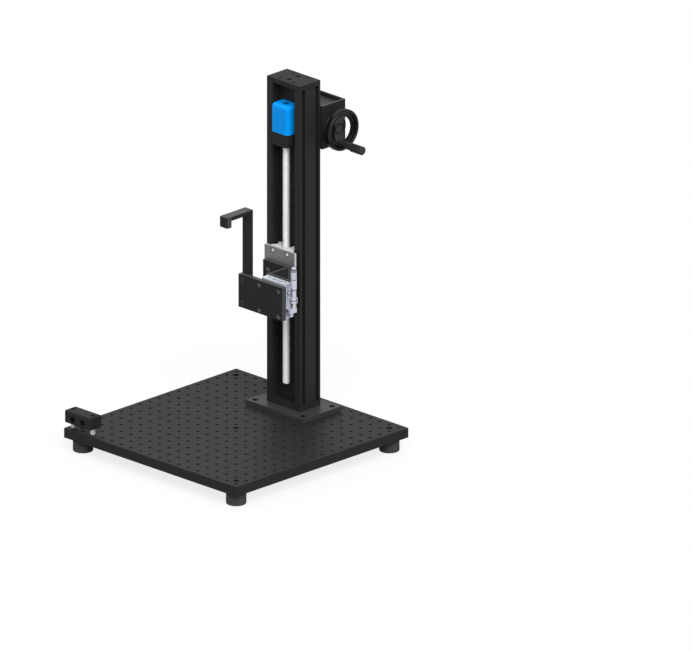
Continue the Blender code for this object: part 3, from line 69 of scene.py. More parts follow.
# Cap screws: diameter and height of the head, width of its socket, and how deep its top lies.
BOARD_SCREW = (10 * MM, 3.8 * MM, 5 * MM, 2.6 * MM)
PLATE_SCREW = (8.4 * MM, 2.8 * MM, 4 * MM, 2.2 * MM)
BLOCK_SCREW = (8.4 * MM, 2.4 * MM, 4 * MM, 2.6 * MM)
CARRIAGE_SCREW = (6 * MM, 2.5 * MM, 2 * MM, 0.3 * MM)
STOP_SCREW = (4.8 * MM, 1.8 * MM, 2 * MM, 0.6 * MM)

# Bores that pass the larger and the smaller screws, and a drill's depth that passes every plate.
LARGE_BORE, SMALL_BORE = 6.6 * MM, 5.5 * MM
THROUGH = 20 * MM

HOLE_SIDES = 16
HEAD_SIDES = 18
SMOOTH_BELOW = 30

# Points this close are one point: on a turned solid's seam, and in a CAD node.
SEAM, SAME_PLACE = 0.002 * MM, 0.005 * MM

FEET = ("foot_front_left", "foot_back_left", "foot_front_right", "foot_back_right")
POSTS = ("corner_post_left", "corner_post_right")


def linear(code):
    """An sRGB hex colour as linear red, green, blue and alpha."""
    values = [int(code[i:i + 2], 16) / 255 for i in (0, 2, 4)]
    bent = [v / 12.92 if v <= 0.04045 else ((v + 0.055) / 1.055) ** 2.4 for v in values]
    return (*bent, 1.0)


def length(name, default, description):
    """A length that a user may change."""
    return bpy.props.FloatProperty(
        name=name, description=description, default=default, min=0.0, unit="LENGTH", precision=4)


def colour(name, code, description):
    """A colour that a user may change."""
    return bpy.props.FloatVectorProperty(
        name=name, description=description, default=linear(code), size=4, subtype="COLOR", min=0,
        max=1)


class CAMSTAGE_PG_sizes(bpy.types.PropertyGroup):
    """Sizes of the fine detail."""

    edge: length("Broken edge", 0.5 * MM, "Width of the bevel on machined edges")
    pitch: length("Grid pitch", 25 * MM, "Distance between the board's tapped holes")
    tapped: length("Tapped hole", 6.4 * MM, "Diameter of the board's holes")
    hole_chamfer: length("Hole chamfer", 0.6 * MM, "Chamfer at the mouth of the board's holes")
    sink: length("Screw sink", 11.5 * MM, "Diameter of the sunk holes for the larger screws")
    sink_depth: length("Sink depth", 6.5 * MM, "Depth of the sunk holes for the larger screws")
    thread_pitch: length("Thread pitch", 3 * MM, "Rise of the lead screw in one turn")
    thread_depth: length("Thread depth", 0.25 * MM, "Depth of the lead screw's thread")
    knurls: bpy.props.IntProperty(
        name="Wheel knurls", description="Grips round the handwheel's rim", default=60, min=12,
        max=180)
    divisions: bpy.props.IntProperty(
        name="Thimble divisions", description="Marks round the micrometer's thimble", default=50,
        min=10, max=100)


class CAMSTAGE_PG_colours(bpy.types.PropertyGroup):
    """Colours of the finishes."""

    black: colour("Black anodised", "282828", "Plates, column and board")
    grey: colour("Dark grey anodised", "393939", "Column flange and housing cover")
    natural: colour("Natural anodised", "787878", "Carriage plate")
    white: colour("White slider", "E6E6E6", "Slider in the column's channel")
    blue: colour("Blue cover", "009CFF", "Cover over the gear head")
    steel: colour("Bright steel", "F2F2F2", "Lead screw and shafts")
    silver: colour("Silver alloy", "C8CCDA", "Micrometer and its stage")
    rubber: colour("Rubber", "484848", "Feet")


def add(tree, kind, links=None, **settings):
    """A node with its settings, and with its sockets linked or set."""
    made = tree.nodes.new(kind)
    for key, value in settings.items():
        setattr(made, key, value)
    for key, value in (links or {}).items():
        if isinstance(value, bpy.types.NodeSocket):
            tree.links.new(value, made.inputs[key])
        else:
            made.inputs[key].default_value = value
    return made


def maths(tree, operation, *values):
    """The result of a math node."""
    return add(tree, "ShaderNodeMath", dict(enumerate(values)), operation=operation).outputs[0]


def principled(name, roughness, metallic=0.0, specular=0.5):
    """A new material, its tree and its shader, with the values that are the same all over."""
    made = bpy.data.materials.new(name)
    made.use_nodes = True
    tree = made.node_tree
    shader = tree.nodes["Principled BSDF"]
    shader.inputs["Roughness"].default_value = roughness
    shader.inputs["Metallic"].default_value = metallic
    shader.inputs["Specular IOR Level"].default_value = specular
    return made, tree, shader


def pattern(tree, size, stretch=(1, 1, 1), detail=2.0):
    """Noise with features of one size, in metres, on object coordinates."""
    place = add(tree, "ShaderNodeTexCoord").outputs["Object"]
    scale = [1 / (size * s) for s in stretch]
    moved = add(tree, "ShaderNodeMapping", {"Vector": place, "Scale": scale}).outputs["Vector"]
    noise = add(tree, "ShaderNodeTexNoise", {"Vector": moved, "Scale": 1.0, "Detail": detail})
    return noise.outputs["Fac"]


def tinted(tree, shader, base, factor, spread):
    """Let the base colour wander a little darker and lighter with a pattern."""
    dark = [c * (1 - spread) for c in base[:3]] + [1.0]
    light = [min(1.0, c * (1 + spread)) for c in base[:3]] + [1.0]
    mix = add(tree, "ShaderNodeMix", {"Factor": factor, "A": dark, "B": light}, data_type="RGBA")
    tree.links.new(mix.outputs["Result"], shader.inputs["Base Color"])


def roughened(tree, shader, factor, low, high):
    """Let the roughness follow a pattern between two values."""
    spread = add(tree, "ShaderNodeMapRange", {"Value": factor, "To Min": low, "To Max": high})
    tree.links.new(spread.outputs["Result"], shader.inputs["Roughness"])


def bumped(tree, shader, factor, depth):
    """Raise and sink the surface by a pattern, with a depth in metres."""
    bump = add(tree, "ShaderNodeBump", {"Height": factor, "Distance": depth, "Strength": 1.0})
    tree.links.new(bump.outputs["Normal"], shader.inputs["Normal"])


def colours():
    """The chosen colours."""
    return bpy.context.scene.camstage_colours


def sizes():
    """The chosen sizes."""
    return bpy.context.scene.camstage_sizes


def coated(
        name, tone, roughness, spread, wander=None, wander_stretch=(1, 1, 1), grain=None,
        stretch=(1, 1, 1), rough=None, relief=None, metallic=0.0, specular=0.5):
    """A finish in one tone, which is a chosen colour's name or a hex code. Sizes are in mm.

    The grain steers the roughness and the relief. The tone varies with a wandering pattern, or
    with the grain where there is none.
    """
    made, tree, shader = principled(name, roughness, metallic, specular)
    fine = pattern(tree, grain * MM, stretch) if grain else None
    broad = pattern(tree, wander * MM, wander_stretch) if wander else fine
    chosen = colours()
    base = getattr(chosen, tone) if tone in chosen.bl_rna.properties else linear(tone)
    tinted(tree, shader, base, broad, spread)
    if rough:
        roughened(tree, shader, fine, *rough)
    if relief:
        bumped(tree, shader, fine, relief * MM)
    return made


# Black anodised aluminium, bead blasted: a dull, even skin with a fine grain. The real grain is
# near 0.1 mm. It is drawn at 0.9 mm so that it shows.
bead_blasted_black = partial(
    coated, "bead_blasted_black_anodised_aluminium", "black", 0.5, 0.10, wander=35, grain=0.9,
    rough=(0.42, 0.58), relief=0.03, specular=0.06)

# Black anodised aluminium as it leaves the die: faint lines run the length of the column.
extruded_black = partial(
    coated, "extruded_black_anodised_aluminium", "black", 0.45, 0.08, wander=4,
    wander_stretch=(1, 1, 60), grain=0.7, stretch=(1, 1, 300), rough=(0.38, 0.52), relief=0.02,
    specular=0.08)

# Black anodised aluminium from the lathe: a slightly glossier skin than the plates have.
turned_black = partial(
    coated, "turned_black_anodised_aluminium", "black", 0.34, 0.08, wander=12, grain=0.5,
    stretch=(0.5, 8, 8), relief=0.02, specular=0.2)

# Dark grey anodised aluminium, face milled: broad faint passes of the cutter.
milled_grey = partial(
    coated, "milled_grey_anodised_aluminium", "grey", 0.42, 0.06, wander=30, grain=1.2,
    stretch=(25, 1, 1), rough=(0.36, 0.5), relief=0.02, specular=0.1)

# Clear anodised aluminium, brushed upwards: pale grey with fine upright strokes.
brushed_natural = partial(
    coated, "brushed_natural_anodised_aluminium", "natural", 0.42, 0.06, grain=0.6,
    stretch=(1, 1, 40), rough=(0.36, 0.5), relief=0.015, metallic=0.35)

# Clear anodised aluminium on a plate's edges: much paler than the brushed face beside it, as a
# painted highlight.
natural_edge_painted_highlight = partial(
    coated, "sawn_natural_anodised_edge", "CDCDCD", 0.45, 0.05, grain=0.8, stretch=(1, 1, 0.3),
    rough=(0.4, 0.52), metallic=0.3)

# Clear anodised aluminium from the lathe: pale grey with rings too fine to feel.
turned_natural = partial(
    coated, "turned_natural_anodised_aluminium", "CFCFCF", 0.36, 0.05, grain=0.6,
    stretch=(8, 8, 0.5), rough=(0.3, 0.42), metallic=0.3)

# Black anodised aluminium on the tops and sides of plates and bars: a shade paler, as painted
# light.
black_sides_painted_light = partial(
    coated, "milled_black_anodised_edge", "464646", 0.42, 0.08, grain=1.5,
    stretch=(0.4, 0.4, 0.4), rough=(0.36, 0.5), specular=0.14)

# Moulded black phenolic: deep black with a gloss that runs along every rounding.
phenolic_black = partial(
    coated, "moulded_black_phenolic", "101010", 0.26, 0.10, wander=15, grain=2,
    rough=(0.24, 0.36), specular=0.2)

# Moulded ABS in bright blue: half gloss with the fine texture of the mould.
blue_plastic = partial(
    coated, "moulded_blue_abs", "blue", 0.33, 0.03, wander=22, grain=0.8, rough=(0.28, 0.38),
    relief=0.012, specular=0.12)

# The same blue plastic down in the cover's well: rough, and darker as painted shade.
shaded_blue = partial(coated, "moulded_blue_abs_well", "0A5C8C", 0.6, 0.1, wander=2, specular=0.05)

# Rolled steel with a bright matt plating: near white, with faint marks round the bar.
bright_steel = partial(
    coated, "rolled_bright_steel", "steel", 0.42, 0.03, grain=0.5, stretch=(6, 6, 1),
    rough=(0.36, 0.48), metallic=0.3)

# Satin chromed alloy: a cool silver with a soft sheen.
satin_silver = partial(
    coated, "satin_chromed_alloy", "silver", 0.34, 0.04, wander=9, grain=0.5,
    rough=(0.28, 0.4), relief=0.008, metallic=0.45)

# The same alloy ground flat on top, with a near-white tone there that is a painted reflection of
# the white room.
alloy_top_painted_reflection = partial(
    coated, "ground_chromed_alloy_top", "E9F0F8", 0.3, 0.03, grain=0.5, stretch=(6, 1, 1),
    rough=(0.24, 0.36), metallic=0.3)

# Moulded natural rubber: dull black with a dusty grain.
moulded_rubber = partial(
    coated, "moulded_black_rubber", "rubber", 0.8, 0.12, grain=1.1, rough=(0.7, 0.9),
    relief=0.05, specular=0.1)

# Screw steel with a black oxide coat: dark with a thin oily sheen.
oxide_black_steel = partial(
    coated, "black_oxide_screw_steel", "2A2A2B", 0.34, 0.15, wander=3, metallic=0.4, specular=0.3)

# The wall of a bored hole: smoother than the face around it, with a pale tone that is a painted
# highlight, so it shows as a pale crescent.
bore_wall_painted_highlight = partial(
    coated, "bored_hole_wall", "6A6A6A", 0.32, 0.08, grain=0.4, stretch=(8, 0.5, 8),
    rough=(0.26, 0.4), specular=0.4)

# Oil filled sintered bronze: brown gold with open pores.
sintered_bronze = partial(
    coated, "sintered_bronze", "A0784A", 0.45, 0.15, grain=0.4, relief=0.02, metallic=0.9)

# Hobbed gear steel: mid grey with the marks of the cutter. On the thimble's upward faces it is
# painted shade.
gear_steel_and_painted_shade = partial(
    coated, "hobbed_gear_steel", "8A8A8C", 0.35, 0.08, grain=0.3, stretch=(4, 1, 1),
    rough=(0.3, 0.45), metallic=0.9)

# Ink in engraved lines: flat and dark. In the clamp's slit and the lock's recess it is painted
# shade.
ink_and_painted_shade = partial(coated, "black_engraving_ink", "202024", 0.6, 0.1, wander=1, specular=0.2)


def white_acetal():
    """Machined white acetal: a clean, slightly waxy white with faint cutter marks."""
    made = coated(
        "machined_white_acetal", "white", 0.38, 0.02, wander=18, grain=0.7, stretch=(1, 1, 12),
        relief=0.01)
    shader = made.node_tree.nodes["Principled BSDF"]
    shader.inputs["Subsurface Weight"].default_value = 0.05
    shader.inputs["Subsurface Scale"].default_value = 1.5 * MM
    return made


def thread_wall_painted_shade():
    """The wall of a tapped hole: rings of thread that show as fine dark lines, on a darker tone
    that is painted shade.
    """
    made, tree, shader = principled("tapped_hole_wall", 0.4, specular=0.2)
    place = add(tree, "ShaderNodeTexCoord").outputs["Object"]
    height = add(tree, "ShaderNodeSeparateXYZ", {"Vector": place}).outputs["Z"]
    # The real thread has a pitch of 1 mm.
    wave = maths(tree, "SINE", maths(tree, "MULTIPLY", height, 2 * math.pi / MM))
    tinted(tree, shader, linear("1C1C1D"), wave, 0.3)
    bumped(tree, shader, wave, 0.3 * MM)
    return made


FINISHES = {}


def finish(maker):
    """The material of a finish, made when it is first asked for."""
    if maker not in FINISHES:
        FINISHES[maker] = maker()
    return FINISHES[maker]


def coat(piece, maker):
    """Give a piece or a tool its first finish."""
    piece.data.materials.append(finish(maker))
    return piece


def span(node):
    """Lowest and highest corner of a CAD node."""
    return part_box(node)


def middle(node):
    """The middle of a CAD node's box."""
    low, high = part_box(node)
    return (low + high) / 2


def turned_box(node, across="x"):
    """Lowest and highest corner, middle and radius of a turned CAD node."""
    low, high = span(node)
    return low, high, middle(node), (getattr(high, across) - getattr(low, across)) / 2


def new_object(name, mesh):
    """Link a mesh under a name."""
    made = bpy.data.objects.new(name, mesh)
    bpy.context.scene.collection.objects.link(made)
    return made


def from_bmesh(name, shape):
    """Turn a bmesh into an object with its faces outwards."""
    bmesh.ops.recalc_face_normals(shape, faces=shape.faces)
    mesh = bpy.data.meshes.new(name)
    shape.to_mesh(mesh)
    shape.free()
    return new_object(name, mesh)


def block(name, low, high):
    """A rectangular block between two corners."""
    shape = bmesh.new()
    bmesh.ops.create_cube(shape, size=1)
    low, high = Vector(low), Vector(high)
    bmesh.ops.scale(shape, vec=high - low, verts=shape.verts)
    bmesh.ops.translate(shape, vec=(low + high) / 2, verts=shape.verts)
    return from_bmesh(name, shape)


def rounded_block(name, low, high, radius, chosen, segments=8):
    """A block with some of its edges rounded: those whose two ends are chosen."""
    piece = block(name, low, high)
    shape = bmesh.new()
    shape.from_mesh(piece.data)
    edges = [edge for edge in shape.edges if chosen(*(vert.co for vert in edge.verts))]
    bmesh.ops.bevel(
        shape, geom=edges, offset=radius, segments=segments, profile=0.5, affect="EDGES")
    shape.to_mesh(piece.data)
    shape.free()
    return piece


def loft(name, rings, caps=True):
    """Skin over rings of equal count, in order, with flat ends."""
    shape = bmesh.new()
    rows = [[shape.verts.new(point) for point in ring] for ring in rings]
    count = len(rows[0])
    for lower, upper in zip(rows, rows[1:]):
        for i in range(count):
            j = (i + 1) % count
            shape.faces.new((lower[i], lower[j], upper[j], upper[i]))
    if caps:
        shape.faces.new(rows[0])
        shape.faces.new(rows[-1])
    return from_bmesh(name, shape)


def prism(name, outline, low, high, upright=False):
    """A flat outline between two heights or, where it stands upright, between two depths."""
    return loft(name, [
        [(a, level, b) if upright else (a, b, level) for a, b in outline] for level in (low, high)])


def bevelled(profile):
    """A profile's points, with two in place of each corner that has a bevel as its third value."""
    points = []
    for i, (radius, along, *bevel) in enumerate(profile):
        if not bevel:
            points.append((radius, along))
            continue
        for near in (profile[i - 1], profile[(i + 1) % len(profile)]):
            share = bevel[0] / math.dist(near[:2], (radius, along))
            points.append((radius + (near[0] - radius) * share, along + (near[1] - along) * share))
    return points


def spin(shape, profile, centre, axis, sides, closed=False):
    """Turn a profile of (radius, along) corners round an axis through a centre, into a bmesh."""
    verts = [shape.verts.new((radius, 0, along)) for radius, along in bevelled(profile)]
    edges = [shape.edges.new(pair) for pair in zip(verts, verts[1:])]
    if closed:
        edges.append(shape.edges.new((verts[-1], verts[0])))
    bmesh.ops.spin(
        shape, geom=verts + edges, cent=(0, 0, 0), axis=UP, angle=2 * math.pi, steps=sides)
    # The tag marks what earlier turns have left in the same bmesh.
    fresh = [vert for vert in shape.verts if not vert.tag]
    bmesh.ops.remove_doubles(shape, verts=fresh, dist=SEAM)
    fresh = [vert for vert in shape.verts if not vert.tag]
    place = Matrix.Translation(Vector(centre)) @ ALONG[axis]
    bmesh.ops.transform(shape, matrix=place, verts=fresh)
    for vert in fresh:
        vert.tag = True


def lathe(name, profile, centre, axis="Z", sides=48, closed=False):
    """A turned solid. A closed profile gives a ring."""
    shape = bmesh.new()
    spin(shape, profile, centre, axis, sides, closed)
    return from_bmesh(name, shape)


def drill(places, axis, profile, sides=32, maker=None):
    """One tool with a turned drill at each place."""
    shape = bmesh.new()
    for place in places:
        spin(shape, profile, place, axis, sides)
    tool = from_bmesh("drill", shape)
    return tool if maker is None else coat(tool, maker)


def rod(radius, low, high):
    """Profile of a plain rod."""
    return [(0, high), (radius, high), (radius, low), (0, low)]


def tube(outer, inner, low, high):
    """Closed profile of a plain ring."""
    return [(outer, high), (outer, low), (inner, low), (inner, high)]


def plain_hole(diameter, depth):
    """Profile of a straight hole that starts above the face."""
    return rod(diameter / 2, -depth, depth)


def stepped_hole(bore, head, head_depth, depth, side=1):
    """Profile of a hole with a flat-bottomed sink on the side that the axis points to."""
    wide, narrow = head / 2, bore / 2
    far = side * depth
    step = -side * head_depth
    points = [(0, far), (wide, far), (wide, step), (narrow, step), (narrow, -far), (0, -far)]
    return points if side > 0 else points[::-1]


def large_sink(depth, side=1):
    """Profile of a sunk hole for the larger screws."""
    return stepped_hole(LARGE_BORE, sizes().sink, sizes().sink_depth, depth, side)


def cone_hole(bore, head, depth, side=1):
    """Profile of a countersunk hole whose cone opens to the side that the axis points to."""
    wide, narrow = head / 2, bore / 2
    drop = wide - narrow
    far = side * depth
    points = [
        (0, far), (wide + depth, far), (wide, 0), (narrow, -side * drop), (narrow, -far), (0, -far)]
    return points if side > 0 else points[::-1]


def cut(piece, *tools, operation="DIFFERENCE"):
    """Cut or join a piece with hidden tools."""
    for tool in tools:
        tool.hide_render = True
        change = piece.modifiers.new("cut", "BOOLEAN")
        change.operation = operation
        change.solver = "EXACT"
        change.material_mode = "TRANSFER"
        change.object = tool
    return piece


def break_edges(piece, width=None, angle=35):
    """Bevel every edge that turns by more than an angle."""
    bevel = piece.modifiers.new("edges", "BEVEL")
    bevel.width = sizes().edge if width is None else width
    bevel.segments = 2
    bevel.limit_method = "ANGLE"
    bevel.angle_limit = math.radians(angle)
    bevel.use_clamp_overlap = True
    return piece


def worked(piece):
    """The plain mesh that a piece's modifiers leave."""
    bpy.context.view_layer.update()
    evaluated = piece.evaluated_get(bpy.context.evaluated_depsgraph_get())
    return bpy.data.meshes.new_from_object(evaluated)


def smoothed(name, mesh, smooth=SMOOTH_BELOW):
    """A piece that is shaded smooth below an angle, and flat on its large flat faces."""
    mesh.shade_smooth()
    mesh.set_sharp_from_angle(angle=math.radians(smooth))
    piece = new_object(name, mesh)
    change = piece.modifiers.new("shading", "WEIGHTED_NORMAL")
    change.keep_sharp = True
    mesh = worked(piece)
    piece.modifiers.remove(change)
    piece.data = mesh
    return piece


def settle(piece, maker=None, smooth=SMOOTH_BELOW):
    """Work a piece's modifiers and place into one plain mesh, and drop its tools.

    The piece and those tools that have no finish yet get the maker's.
    """
    tools = [change.object for change in piece.modifiers if change.type == "BOOLEAN"]
    if maker is not None:
        for item in (piece, *tools):
            if not item.data.materials:
                coat(item, maker)
    mesh = worked(piece)
    mesh.transform(piece.matrix_world)
    name = piece.name
    for item in (*tools, piece):
        bpy.data.objects.remove(item, do_unlink=True)
    return smoothed(name, mesh, smooth)


def repaint(piece, maker, chosen):
    """Give the faces of the first finish whose normal is chosen another finish."""
    mesh = piece.data
    mesh.materials.append(finish(maker))
    last = len(mesh.materials) - 1
    for face in mesh.polygons:
        if face.material_index == 0 and chosen(face.normal):
            face.material_index = last
    return piece


def deliver(piece, body, slot, *nodes):
    """Hang a piece on its body, and hide the nodes that it stands for; the slot that names its
    finish is not used.
    """
    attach(piece, body)
    if nodes:
        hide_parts(*nodes)
    return piece


def node_copy(name, node, width=None, angle=35):
    """A CAD node's own shape, merged, with its edges broken."""
    shape = bmesh.new()
    shape.from_mesh(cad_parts[node].data)
    bmesh.ops.remove_doubles(shape, verts=shape.verts, dist=SAME_PLACE)
    bmesh.ops.dissolve_limit(
        shape, angle_limit=math.radians(1), verts=shape.verts, edges=shape.edges)
    return break_edges(from_bmesh(name, shape), width, angle)


def geometry_tree(name, **inputs):
    """A Geometry Nodes tree, and the sockets of its named inputs."""
    tree = bpy.data.node_groups.new(name, "GeometryNodeTree")
    for label, kind in inputs.items():
        tree.interface.new_socket(label, in_out="INPUT", socket_type="NodeSocket" + kind)
    tree.interface.new_socket("Geometry", in_out="OUTPUT", socket_type="NodeSocketGeometry")
    return tree, add(tree, "NodeGroupInput").outputs


def end_tree(tree, geometry, *surfaces):
    """Realize a tree's instances and give them their material."""
    shown = add(tree, "GeometryNodeRealizeInstances", {"Geometry": geometry}).outputs["Geometry"]
    for surface, chosen in surfaces:
        links = {"Geometry": shown, "Material": surface}
        if chosen is not None:
            links["Selection"] = chosen
        shown = add(tree, "GeometryNodeSetMaterial", links).outputs["Geometry"]
    add(tree, "NodeGroupOutput", {"Geometry": shown})


def grown(name, tree, values, start=None):
    """Run a tree on a start object, or on nothing, and keep the plain mesh that it makes."""
    if start is None:
        start = new_object(name + "_seed", bpy.data.meshes.new(name + "_seed"))
    modifier = start.modifiers.new(name, "NODES")
    modifier.node_group = tree
    for item in tree.interface.items_tree:
        if item.in_out == "INPUT" and item.name in values:
            modifier[item.identifier] = values[item.name]
    mesh = worked(start)
    mesh.name = name
    mesh.transform(start.matrix_world)
    bpy.data.objects.remove(start, do_unlink=True)
    return new_object(name, mesh)


def tiled_plate_tree():
    """Copies of one tile on a square grid, welded into a sheet with two materials."""
    tree, given = geometry_tree(
        "tiled_plate", Tile="Object", Count="Int", Pitch="Float", Weld="Float", Face="Material",
        Wall="Material")
    side = maths(tree, "MULTIPLY", maths(tree, "SUBTRACT", given["Count"], 1.0), given["Pitch"])
    grid = add(tree, "GeometryNodeMeshGrid", {
        "Size X": side, "Size Y": side, "Vertices X": given["Count"], "Vertices Y": given["Count"]})
    tile = add(tree, "GeometryNodeObjectInfo", {"Object": given["Tile"]}).outputs["Geometry"]
    laid = add(tree, "GeometryNodeInstanceOnPoints", {
        "Points": grid.outputs["Mesh"], "Instance": tile})
    joined = add(tree, "GeometryNodeRealizeInstances", {"Geometry": laid.outputs["Instances"]})
    welded = add(tree, "GeometryNodeMergeByDistance", {
        "Geometry": joined.outputs["Geometry"], "Distance": given["Weld"]})
    tapped = add(tree, "GeometryNodeInputNamedAttribute", {"Name": "tapped"}, data_type="BOOLEAN")
    end_tree(
        tree, welded.outputs["Geometry"], (given["Face"], None),
        (given["Wall"], tapped.outputs["Attribute"]))
    return tree


def screws_tree():
    """One screw head at each point, turned along the point's aim."""
    tree, given = geometry_tree(
        "screws_at_points", Geometry="Geometry", Screw="Object", Surface="Material")
    aim = add(tree, "GeometryNodeInputNamedAttribute", {"Name": "aim"}, data_type="FLOAT_VECTOR")
    turn = add(tree, "FunctionNodeAlignRotationToVector", {
        "Vector": aim.outputs["Attribute"]}, axis="Z")
    screw = add(tree, "GeometryNodeObjectInfo", {"Object": given["Screw"]}).outputs["Geometry"]
    laid = add(tree, "GeometryNodeInstanceOnPoints", {
        "Points": given["Geometry"], "Instance": screw, "Rotation": turn.outputs["Rotation"]})
    end_tree(tree, laid.outputs["Instances"], (given["Surface"], None))
    return tree


def round_tree():
    """Bars on a circle round z, each turned to face outwards."""
    tree, given = geometry_tree(
        "bars_round_an_axis", Count="Int", Radius="Float", Bar="Vector", Surface="Material")
    ring = add(tree, "GeometryNodeMeshCircle", {
        "Vertices": given["Count"], "Radius": given["Radius"]})
    bar = add(tree, "GeometryNodeMeshCube", {"Size": given["Bar"]}).outputs["Mesh"]
    number = add(tree, "GeometryNodeInputIndex").outputs["Index"]
    angle = maths(tree, "MULTIPLY", number, maths(tree, "DIVIDE", 2 * math.pi, given["Count"]))
    turn = add(tree, "ShaderNodeCombineXYZ", {"Z": angle})
    laid = add(tree, "GeometryNodeInstanceOnPoints", {
        "Points": ring.outputs["Mesh"], "Instance": bar, "Rotation": turn.outputs["Vector"]})
    end_tree(tree, laid.outputs["Instances"], (given["Surface"], None))
    return tree


def thread_tree():
    """A ridge that winds up round z, swept along a spiral."""
    tree, given = geometry_tree(
        "wound_ridge", Radius="Float", Turns="Float", Rise="Float", Root="Float", Crest="Float",
        Depth="Float", Surface="Material")
    path = add(tree, "GeometryNodeCurveSpiral", {
        "Resolution": 24, "Rotations": given["Turns"], "Start Radius": given["Radius"],
        "End Radius": given["Radius"], "Height": given["Rise"]})
    level = add(tree, "GeometryNodeSetCurveNormal", {"Curve": path.outputs["Curve"]}, mode="Z_UP")
    ridge = add(tree, "GeometryNodeCurvePrimitiveQuadrilateral", {
        "Bottom Width": given["Root"], "Top Width": given["Crest"], "Height": given["Depth"],
        "Offset": 0.0}, mode="TRAPEZOID")
    swept = add(tree, "GeometryNodeCurveToMesh", {
        "Curve": level.outputs["Curve"], "Profile Curve": ridge.outputs["Curve"],
        "Fill Caps": True})
    end_tree(tree, swept.outputs["Mesh"], (given["Surface"], None))
    return tree


TREES = {}


def tree_of(maker):
    """A Geometry Nodes tree, made when it is first asked for."""
    if maker not in TREES:
        TREES[maker] = maker()
    return TREES[maker]


def angles(count):
    """Even angles round a circle."""
    return [2 * math.pi * i / count for i in range(count)]


def ring_points(turns, reaches, level):
    """Points round z at one level, a reach away at each angle."""
    return [(reach * math.cos(a), reach * math.sin(a), level) for a, reach in zip(turns, reaches)]


def socket_head(name, head, height, across_flats):
    """A cap screw's head with its hexagon socket. Its top lies at z = 0."""
    turns = angles(HEAD_SIDES)
    radius = head / 2
    soft = radius * 0.12
    body, top = [radius] * HEAD_SIDES, [radius - soft] * HEAD_SIDES
    sixth = math.pi / 3
    socket = [across_flats / 2 / math.cos(a % sixth - sixth / 2) for a in turns]
    levels = ((body, -height), (body, -soft), (top, 0), (socket, 0), (socket, -height * 0.6))
    made = loft(name, [ring_points(turns, reaches, level) for reaches, level in levels])
    made.hide_render = True
    return made


def screws(name, places, aim, size, body, maker=oxide_black_steel, slot="black_steel"):
    """Cap screws sunk into one body at places, with their heads facing along aim."""
    head, height, across_flats, drop = size
    sunk = [tuple(at - drop * way for at, way in zip(place, aim)) for place in places]
    mesh = bpy.data.meshes.new(name)
    mesh.from_pydata(sunk, [], [])
    attribute = mesh.attributes.new("aim", "FLOAT_VECTOR", "POINT")
    attribute.data.foreach_set("vector", list(aim) * len(sunk))
    start = new_object(name + "_places", mesh)
    model = socket_head(name + "_head", head, height, across_flats)
    made = grown(name, tree_of(screws_tree), {"Screw": model, "Surface": finish(maker)}, start)
    bpy.data.objects.remove(model, do_unlink=True)
    return deliver(settle(made), body, slot)


def bars_round(name, centre, axis, count, radius, bar, maker):
    """Bars round an axis, as plain mesh."""
    values = {"Count": count, "Radius": radius, "Bar": bar, "Surface": finish(maker)}
    made = grown(name, tree_of(round_tree), values)
    made.data.transform(Matrix.Translation(Vector(centre)) @ ALONG[axis])
    return made


def joined(name, *pieces):
    """Several plain meshes as one piece."""
    shape = bmesh.new()
    materials = []
    for piece in pieces:
        first = len(shape.faces)
        shape.from_mesh(piece.data)
        shape.faces.ensure_lookup_table()
        for face in shape.faces[first:]:
            surface = piece.data.materials[face.material_index]
            if surface not in materials:
                materials.append(surface)
            face.material_index = materials.index(surface)
        bpy.data.objects.remove(piece, do_unlink=True)
    mesh = bpy.data.meshes.new(name)
    shape.to_mesh(mesh)
    shape.free()
    for surface in materials:
        mesh.materials.append(surface)
    return smoothed(name, mesh)


def make_tile(pitch, hole, chamfer, low, high):
    """One square of the board with its tapped hole. Its four sides stay open."""
    turns = angles(HOLE_SIDES)
    half = pitch / 2
    square = [half / max(abs(math.cos(a)), abs(math.sin(a))) for a in turns]
    wall, mouth = [hole / 2] * HOLE_SIDES, [hole / 2 + chamfer] * HOLE_SIDES
    levels = (
        (square, high), (mouth, high), (wall, high - chamfer), (wall, low + chamfer), (mouth, low),
        (square, low))
    rings = [ring_points(turns, reaches, level) for reaches, level in levels]
    tile = loft("board_tile", rings, caps=False)
    flags = tile.data.attributes.new("tapped", "BOOLEAN", "FACE")
    walls = range(2 * HOLE_SIDES, 3 * HOLE_SIDES)
    flags.data.foreach_set("value", [i in walls for i in range(len(tile.data.polygons))])
    return tile


class CAMSTAGE_OT_board(bpy.types.Operator):
    """Make the perforated board, its feet and the screws that hold them"""

    bl_idname = "camstage.board"
    bl_label = "Board and Feet"

    def execute(self, context):
        low, high = span("breadboard")
        centre = middle("breadboard")
        pitch = sizes().pitch
        count = round((high.x - low.x) / pitch)
        tile = make_tile(pitch, sizes().tapped, sizes().hole_chamfer, low.z, high.z)
        # The hole walls take a tone darker than the board's face: painted shade.
        values = {
            "Tile": tile, "Count": count, "Pitch": pitch, "Weld": 0.01 * MM,
            "Face": finish(bead_blasted_black), "Wall": finish(thread_wall_painted_shade)}
        board = grown("board_surface", tree_of(tiled_plate_tree), values)
        bpy.data.objects.remove(tile, do_unlink=True)
        board.data.transform(Matrix.Translation((centre.x, centre.y, 0)))
        close_sides(board)
        sunk = [(spot.x, spot.y, high.z) for spot in (*map(middle, FEET), centre)]
        # The sunk holes' walls take the same darker tone: painted shade.
        cut(board, drill(sunk, "Z", large_sink(past(low, high)), maker=thread_wall_painted_shade))
        board = settle(break_edges(board, 0.6 * MM, angle=50))
        deliver(board, "base", "black_anodised", "breadboard")
        screws("foot_screws", sunk[:len(FEET)], UP, BOARD_SCREW, "base")
        for node in FEET:
            make_foot(node)
        return {"FINISHED"}


def past(low, high):
    """A drill's depth that passes a flat plate, and reaches half its thickness beyond."""
    return (high.z - low.z) * 1.5


